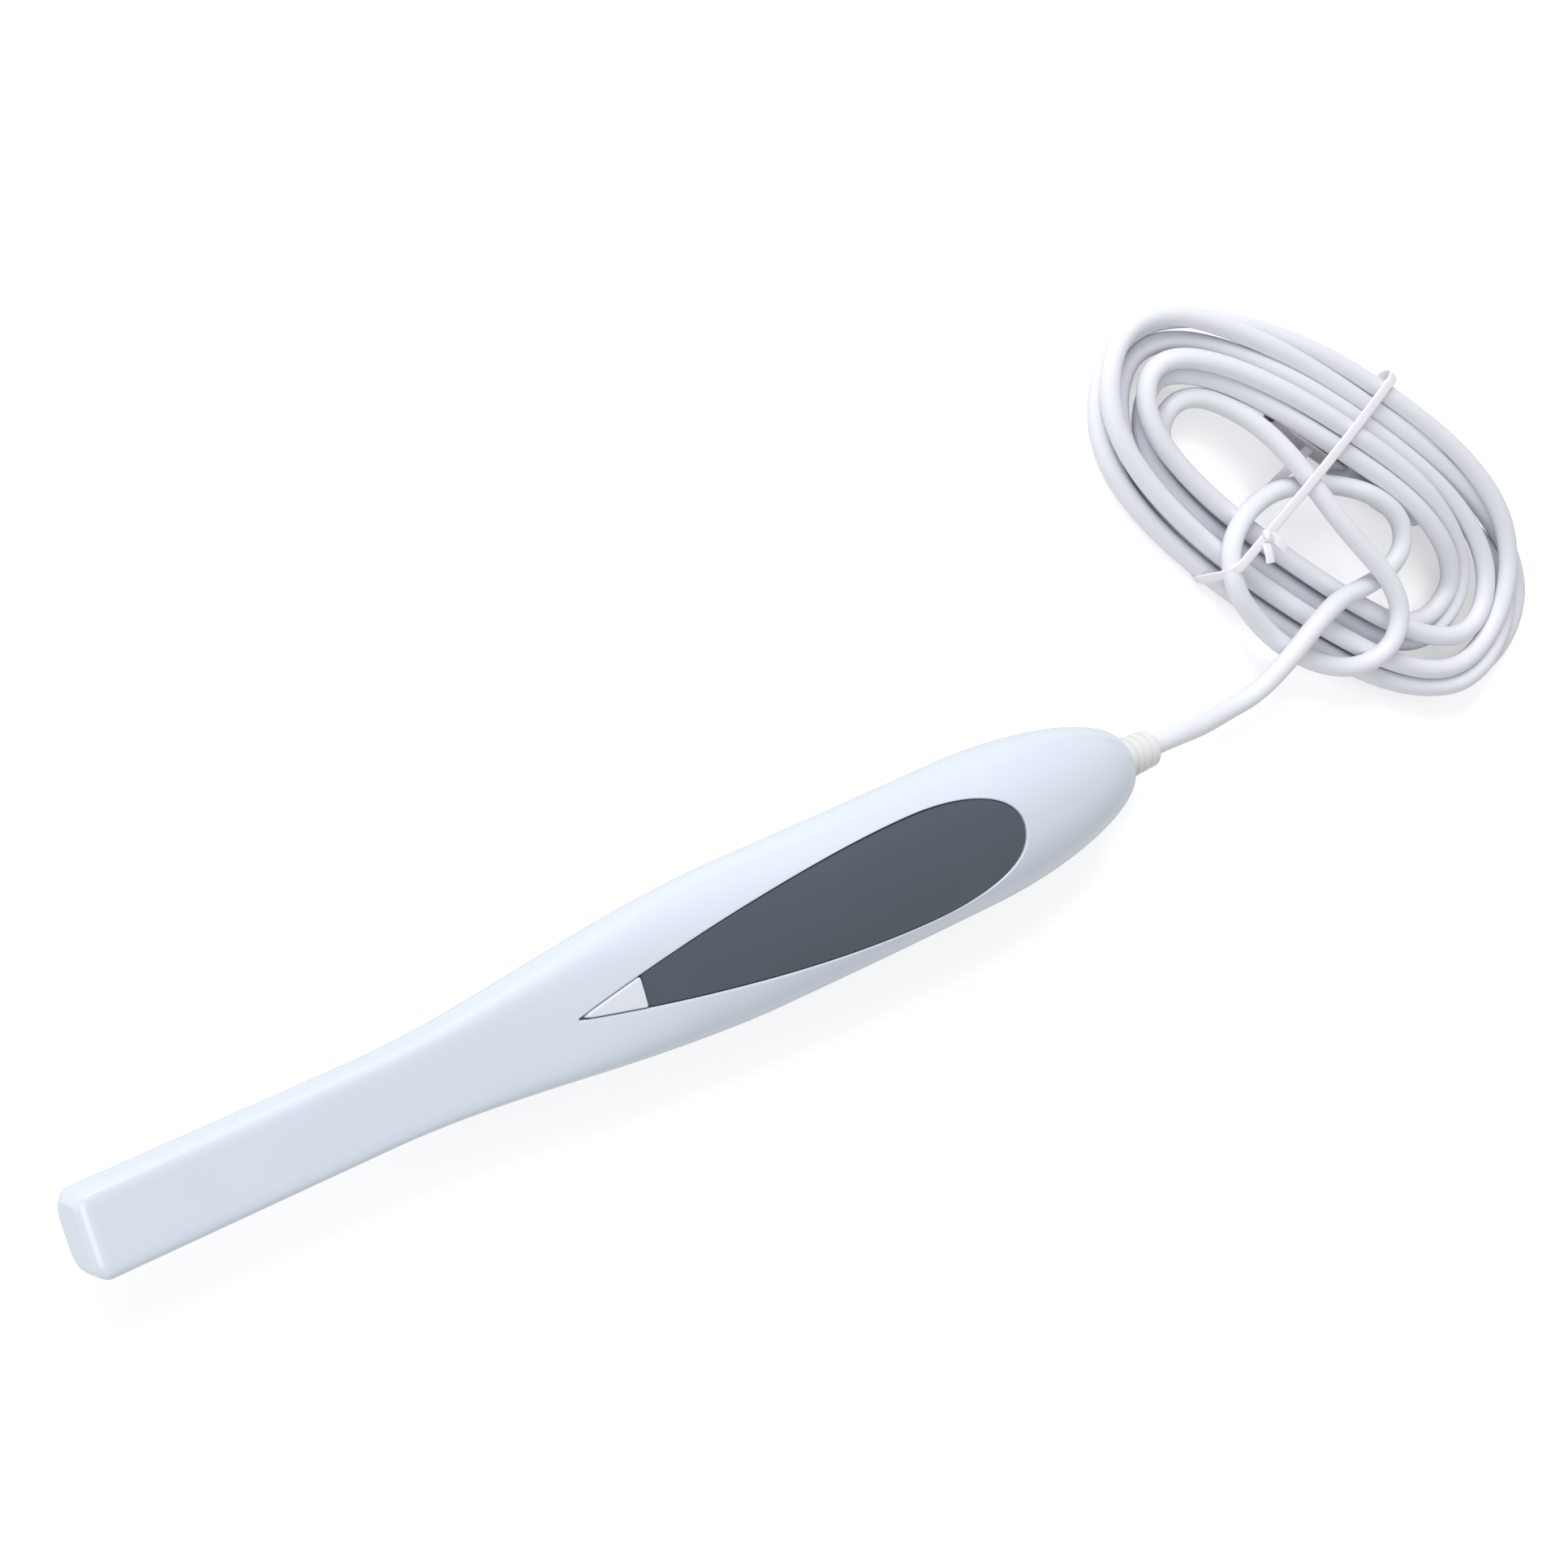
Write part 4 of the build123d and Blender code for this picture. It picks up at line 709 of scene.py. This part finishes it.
# Tie
# A flat white film-covered tie, pulled taut round the whole waist of the hank, with its ends twisted
# together and cut short. The band follows the convex hull of the strands that it holds.
TIE_ALONG, TIE_SLANT = -12.0, math.radians(20)
TIE_WIDTH, TIE_THICK = 1.9, 0.5
TIE_CLEARANCE, TIE_TABLE_GAP = 0.3, 0.02
LEAD_SAMPLES = 40
DISC_POINTS, BAND_POINTS, BAND_SMOOTHING, STRIP_POINTS = 25, 181, 3, 17
STRIP_SQUARENESS = 0.4, 0.7
KNOT_ALONG = 17.0
# Start and end of each cut tail, off the band, along it and up, from the knot
TIE_TAILS = (((0.6, 1.2, 0.3), (3.4, 3.2, 0.9)), ((0.6, -0.8, 0.3), (4.2, -1.2, 0.6)))
TAIL_POINTS, TAIL_ARCH = 16, 0.8
TWIST_RADIUS, TWIST_LENGTH, TWIST_HEIGHT, TWIST_FLATNESS = 0.95, 3.0, 0.45, 0.7
TWIST_WAVE, TWIST_SPIN, TWIST_ROWS, TWIST_COLUMNS = 0.12, 9, 24, 25


def turns_left(first, second, third):
    """Twice the area of a triangle of flat points, positive where it turns left."""
    return ((second[0] - first[0]) * (third[1] - first[1]) - (second[1] - first[1]) * (third[0] - first[0]))


def hull(points):
    """Corners of the convex hull of flat points, anticlockwise, by the monotone chain."""
    sorted_points = sorted(map(tuple, points))
    corners = []
    for sequence in (sorted_points, sorted_points[::-1]):
        chain = []
        for point in sequence:
            while len(chain) > 1 and turns_left(chain[-2], chain[-1], point) <= 0:
                chain.pop()
            chain.append(point)
        corners += chain[:-1]
    return np.array(corners)


def strip(path, normal, width_way):
    """A flat strip along a path: a rounded rectangle of TIE_WIDTH by TIE_THICK swept along it."""
    corner = np.linspace(0, 2 * math.pi, STRIP_POINTS)
    flat, thick = (np.sign(wave) * np.abs(wave) ** power * size / 2 for wave, power, size in (
        (np.cos(corner), STRIP_SQUARENESS[0], TIE_WIDTH), (np.sin(corner), STRIP_SQUARENESS[1], TIE_THICK)))
    return path[:, None] + width_way[:, None] * flat[:, None] + normal[:, None] * thick[:, None]


tie_way = -math.sin(TIE_SLANT) * HANK_ALONG + math.cos(TIE_SLANT) * HANK_ACROSS
tie_off = math.cos(TIE_SLANT) * HANK_ALONG + math.sin(TIE_SLANT) * HANK_ACROSS
way_3d, off_3d = np.append(tie_way, 0.0), np.append(tie_off, 0.0)
tie_origin = HANK_CENTRE + TIE_ALONG * HANK_ALONG
side_of = (line[:, :2] - tie_origin) @ tie_off
crossed = np.nonzero(side_of[:-1] * side_of[1:] < 0)[0]
crossed = crossed[crossed > LEAD_SAMPLES]
crossings = np.column_stack([(line[crossed, :2] - tie_origin) @ tie_way, line[crossed, 2]])
disc = np.linspace(0, 2 * math.pi, DISC_POINTS)[:-1]
disc_edge = (CABLE_RADIUS + TIE_CLEARANCE) * np.stack([np.cos(disc), np.sin(disc)], axis=-1)
band = hull((crossings[:, None] + disc_edge).reshape(-1, 2))
band = np.vstack([band, band[:1]])
reach = np.concatenate([[0], np.cumsum(np.linalg.norm(np.diff(band, axis=0), axis=1))])
spots = np.linspace(0, reach[-1], BAND_POINTS)
band = np.column_stack([np.interp(spots, reach, band[:, axis]) for axis in range(2)])
for step in range(BAND_SMOOTHING):
    band[:-1] = (np.roll(band[:-1], 1, axis=0) + 2 * band[:-1] + np.roll(band[:-1], -1, axis=0)) / 4
    band[-1] = band[0]
band_normal = outline_normals(band)
band_path = np.column_stack([tie_origin + band[:, :1] * tie_way, band[:, 1]])
band_path[:, 2] = np.maximum(band_path[:, 2], TIE_THICK / 2 + TIE_TABLE_GAP)
normal_3d = np.column_stack([band_normal[:, :1] * tie_way, band_normal[:, 1]])
tie_grids = [strip(band_path, normal_3d, np.tile(off_3d, (len(band_path), 1)))]
upper_half = band_path[band_path[:, 2] >= band_path[:, 2].mean()]
knot = upper_half[np.argmin(np.abs((upper_half[:, :2] - tie_origin) @ tie_way - KNOT_ALONG))]
for tail_start, tail_stop in np.array(TIE_TAILS):
    t = np.linspace(0, 1, TAIL_POINTS)[:, None]
    curve = (1 - t) * tail_start + t * tail_stop + (0, 0, TAIL_ARCH) * t * (1 - t)
    tail = knot + curve[:, :1] * off_3d + curve[:, 1:2] * way_3d
    tail[:, 2] += curve[:, 2]
    tangent = np.gradient(tail, axis=0)
    tangent /= np.linalg.norm(tangent, axis=1, keepdims=True)
    sideways = np.cross(tangent, (0, 0, 1))
    sideways /= np.linalg.norm(sideways, axis=1, keepdims=True)
    grid = strip(tail, np.cross(sideways, tangent), sideways)
    first, last = grid[:1].mean(axis=1, keepdims=True), grid[-1:].mean(axis=1, keepdims=True)
    tie_grids.append(np.vstack([first + 0 * grid[:1], grid, last + 0 * grid[-1:]]))
t = np.linspace(0, 1, TWIST_ROWS)[:, None]
around = np.linspace(0, 2 * math.pi, TWIST_COLUMNS)
twist_r = (TWIST_RADIUS * np.sin(np.pi * t) ** 0.5) * (1 + TWIST_WAVE * np.cos(2 * around + TWIST_SPIN * t))
twist_line = knot + (t - 0.5) * TWIST_LENGTH * off_3d + (0, 0, TWIST_HEIGHT)
tie_grids.append(twist_line[:, None] + (twist_r * np.cos(around))[..., None] * way_3d
                 + (twist_r * np.sin(around))[..., None] * np.array([0, 0, TWIST_FLATNESS]))
tie = build("tie_band", tie_grids, TIE_SMOOTH)
film = plastic("tie_film", (0.88, 0.89, 0.92), (0.86, 0.87, 0.90), 0.3, 0.06, 900.0, IOR=1.5)
dress(tie, film, "housing", "tie_film", "cable_tie")

# Parts inside and the plug
# These keep the CAD's own shapes. The boards are glass-epoxy under green mask, the optics coated glass in
# black barrels, the chips moulded epoxy, the screws and the plug's shell plated steel.
BRUSH_SCALE, BRUSH_DETAIL, BRUSH_STRETCH = 500.0, 2.0, (0.15, 1.0, 1.0)
BRUSH_GLOSS, BRUSH_RELIEF = 0.12, 0.05
METAL_DRIFT_SCALE, METAL_SHADE = 60.0, 0.9
COATING, COATING_SCALE = (0.92, 0.95, 1.0, 1), 80.0
GLASS_ROUGHNESS, SMEAR, SMEAR_SCALE = 0.02, 0.02, 300.0


def metal(name, colour, roughness):
    """Plated steel: brushed grain along x in the gloss and the relief."""
    finish = Finish(name)
    brushed = finish.grain(BRUSH_SCALE, BRUSH_DETAIL, BRUSH_STRETCH)
    shade = [METAL_SHADE * part for part in colour]
    return finish.surface(Base_Color=finish.mix(finish.grain(METAL_DRIFT_SCALE), (*colour, 1), (*shade, 1)),
                          Metallic=1.0, Roughness=roughness + brushed * BRUSH_GLOSS,
                          Normal=finish.bump(brushed, BRUSH_RELIEF))


def glass(name, colour):
    """Clear glass with a faint coating: a tint that drifts over the face."""
    finish = Finish(name)
    return finish.surface(Base_Color=finish.mix(finish.grain(COATING_SCALE), (*colour, 1), COATING),
                          Roughness=GLASS_ROUGHNESS + finish.grain(SMEAR_SCALE) * SMEAR,
                          Transmission_Weight=1.0, IOR=1.5)


board = plastic("board_mask", (0.012, 0.16, 0.07), (0.01, 0.12, 0.055), 0.35, 0.06, 1500.0)
black = plastic("matt_black", (0.018, 0.018, 0.02), (0.014, 0.014, 0.015), 0.6, 0.1, 1500.0)
epoxy = plastic("chip_epoxy", (0.025, 0.025, 0.027), (0.018, 0.018, 0.02), 0.5, 0.12, 2500.0)
nylon = plastic("nylon", (0.72, 0.68, 0.56), (0.68, 0.64, 0.52), 0.45, 0.05, 1200.0)
steel = metal("plated_steel", (0.72, 0.72, 0.73), 0.25)
finishes = {
    "lens_window": glass("window_glass", (0.88, 0.93, 0.97)),
    "window_gasket": plastic("gasket_foam", (0.05, 0.05, 0.055), (0.035, 0.035, 0.04), 0.85, 0.4, 1800.0),
    "led_board": board, "sensor_board": board, "main_board": board,
    "leds": plastic("led_package", (0.85, 0.80, 0.42), (0.80, 0.74, 0.36), 0.35, 0.04, 1500.0),
    "lens_barrel": black, "lens_holder": black,
    "front_lens": glass("front_glass", (0.80, 0.86, 0.98)),
    "rear_lens": glass("rear_glass", (0.84, 0.90, 0.98)),
    "ir_filter": glass("filter_glass", (0.98, 0.72, 0.74)),
    "sensor_chip": epoxy, "usb_controller_chip": epoxy, "memory_chip": epoxy,
    "crystal_can": steel, "tact_switch": black, "board_screws": steel, "case_screws": steel,
    "clamp_screws": steel, "cable_clamp": nylon, "ffc_connector": nylon, "cable_connector": nylon,
    "capacitors": plastic("capacitor_ceramic", (0.36, 0.25, 0.15), (0.30, 0.20, 0.12), 0.5, 0.08, 2000.0),
    "flex_ribbon": plastic("ribbon_film", (0.62, 0.30, 0.05), (0.55, 0.26, 0.04), 0.3, 0.03, 1200.0),
    "switch_plunger": black,
    "inner_cable": jacket_white,
    "signal_wires": plastic("wire_jacket", (0.45, 0.05, 0.04), (0.38, 0.04, 0.03), 0.4, 0.05, 1500.0),
    "usb_plug_housing": plastic("plug_overmould", (0.76, 0.785, 0.83), (0.73, 0.755, 0.80), 0.45, 0.08, 900.0),
    "usb_plug_shell": metal("plug_steel", (0.74, 0.74, 0.75), 0.2),
    "usb_plug_tongue": plastic("plug_tongue", (0.78, 0.78, 0.78), (0.74, 0.74, 0.74), 0.4, 0.04, 1500.0),
}
for name, finish in finishes.items():
    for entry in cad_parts[name].material_slots:
        entry.material = finish

# Floor and light
# A pale flat floor under a large soft light from behind and a smaller one from the left, as in a product
# photograph. The floor glows for camera rays only and keeps the object's shadow. Sizes here are in metres.
FLOOR_SIZE = 3.0
FLOOR_COLOUR, FLOOR_ROUGHNESS, FLOOR_GLOW = (0.86, 0.86, 0.86, 1), 0.9, 0.42
SKY_COLOUR, SKY_STRENGTH = (0.97, 0.98, 1.0, 1), 0.56
# Place in metres, size in metres and power in watts of each lamp
LAMPS = {"key_light": ((-0.1, 0.95, 0.62), 0.7, 8.5), "side_light": ((-0.9, -0.1, 0.5), 0.5, 2.2)}
corner = FLOOR_SIZE / 2
floor_mesh = bpy.data.meshes.new("floor")
floor_mesh.from_pydata([(-corner, -corner, 0), (corner, -corner, 0), (corner, corner, 0), (-corner, corner, 0)],
                       [], [(0, 1, 2, 3)])
floor = bpy.data.objects.new("floor", floor_mesh)
bpy.context.collection.objects.link(floor)
floor_finish = Finish("floor_white")
seen = floor_finish.node("ShaderNodeLightPath", {}, {}, "Is Camera Ray")
floor.data.materials.append(floor_finish.surface(
    Base_Color=FLOOR_COLOUR, Roughness=FLOOR_ROUGHNESS,
    Emission_Color=floor_finish.mix(seen, (0, 0, 0, 1), (1, 1, 1, 1)), Emission_Strength=FLOOR_GLOW))

world = bpy.data.worlds.new("world")
bpy.context.scene.world = world
world.use_nodes = True
world.node_tree.nodes["Background"].inputs["Color"].default_value = SKY_COLOUR
world.node_tree.nodes["Background"].inputs["Strength"].default_value = SKY_STRENGTH
for name, (place, size, power) in LAMPS.items():
    lamp = bpy.data.lights.new(name, "AREA")
    lamp.size = size
    lamp.energy = power
    holder = bpy.data.objects.new(name, lamp)
    bpy.context.collection.objects.link(holder)
    holder.location = place
    holder.rotation_euler = (-Vector(place)).to_track_quat("-Z", "Y").to_euler()
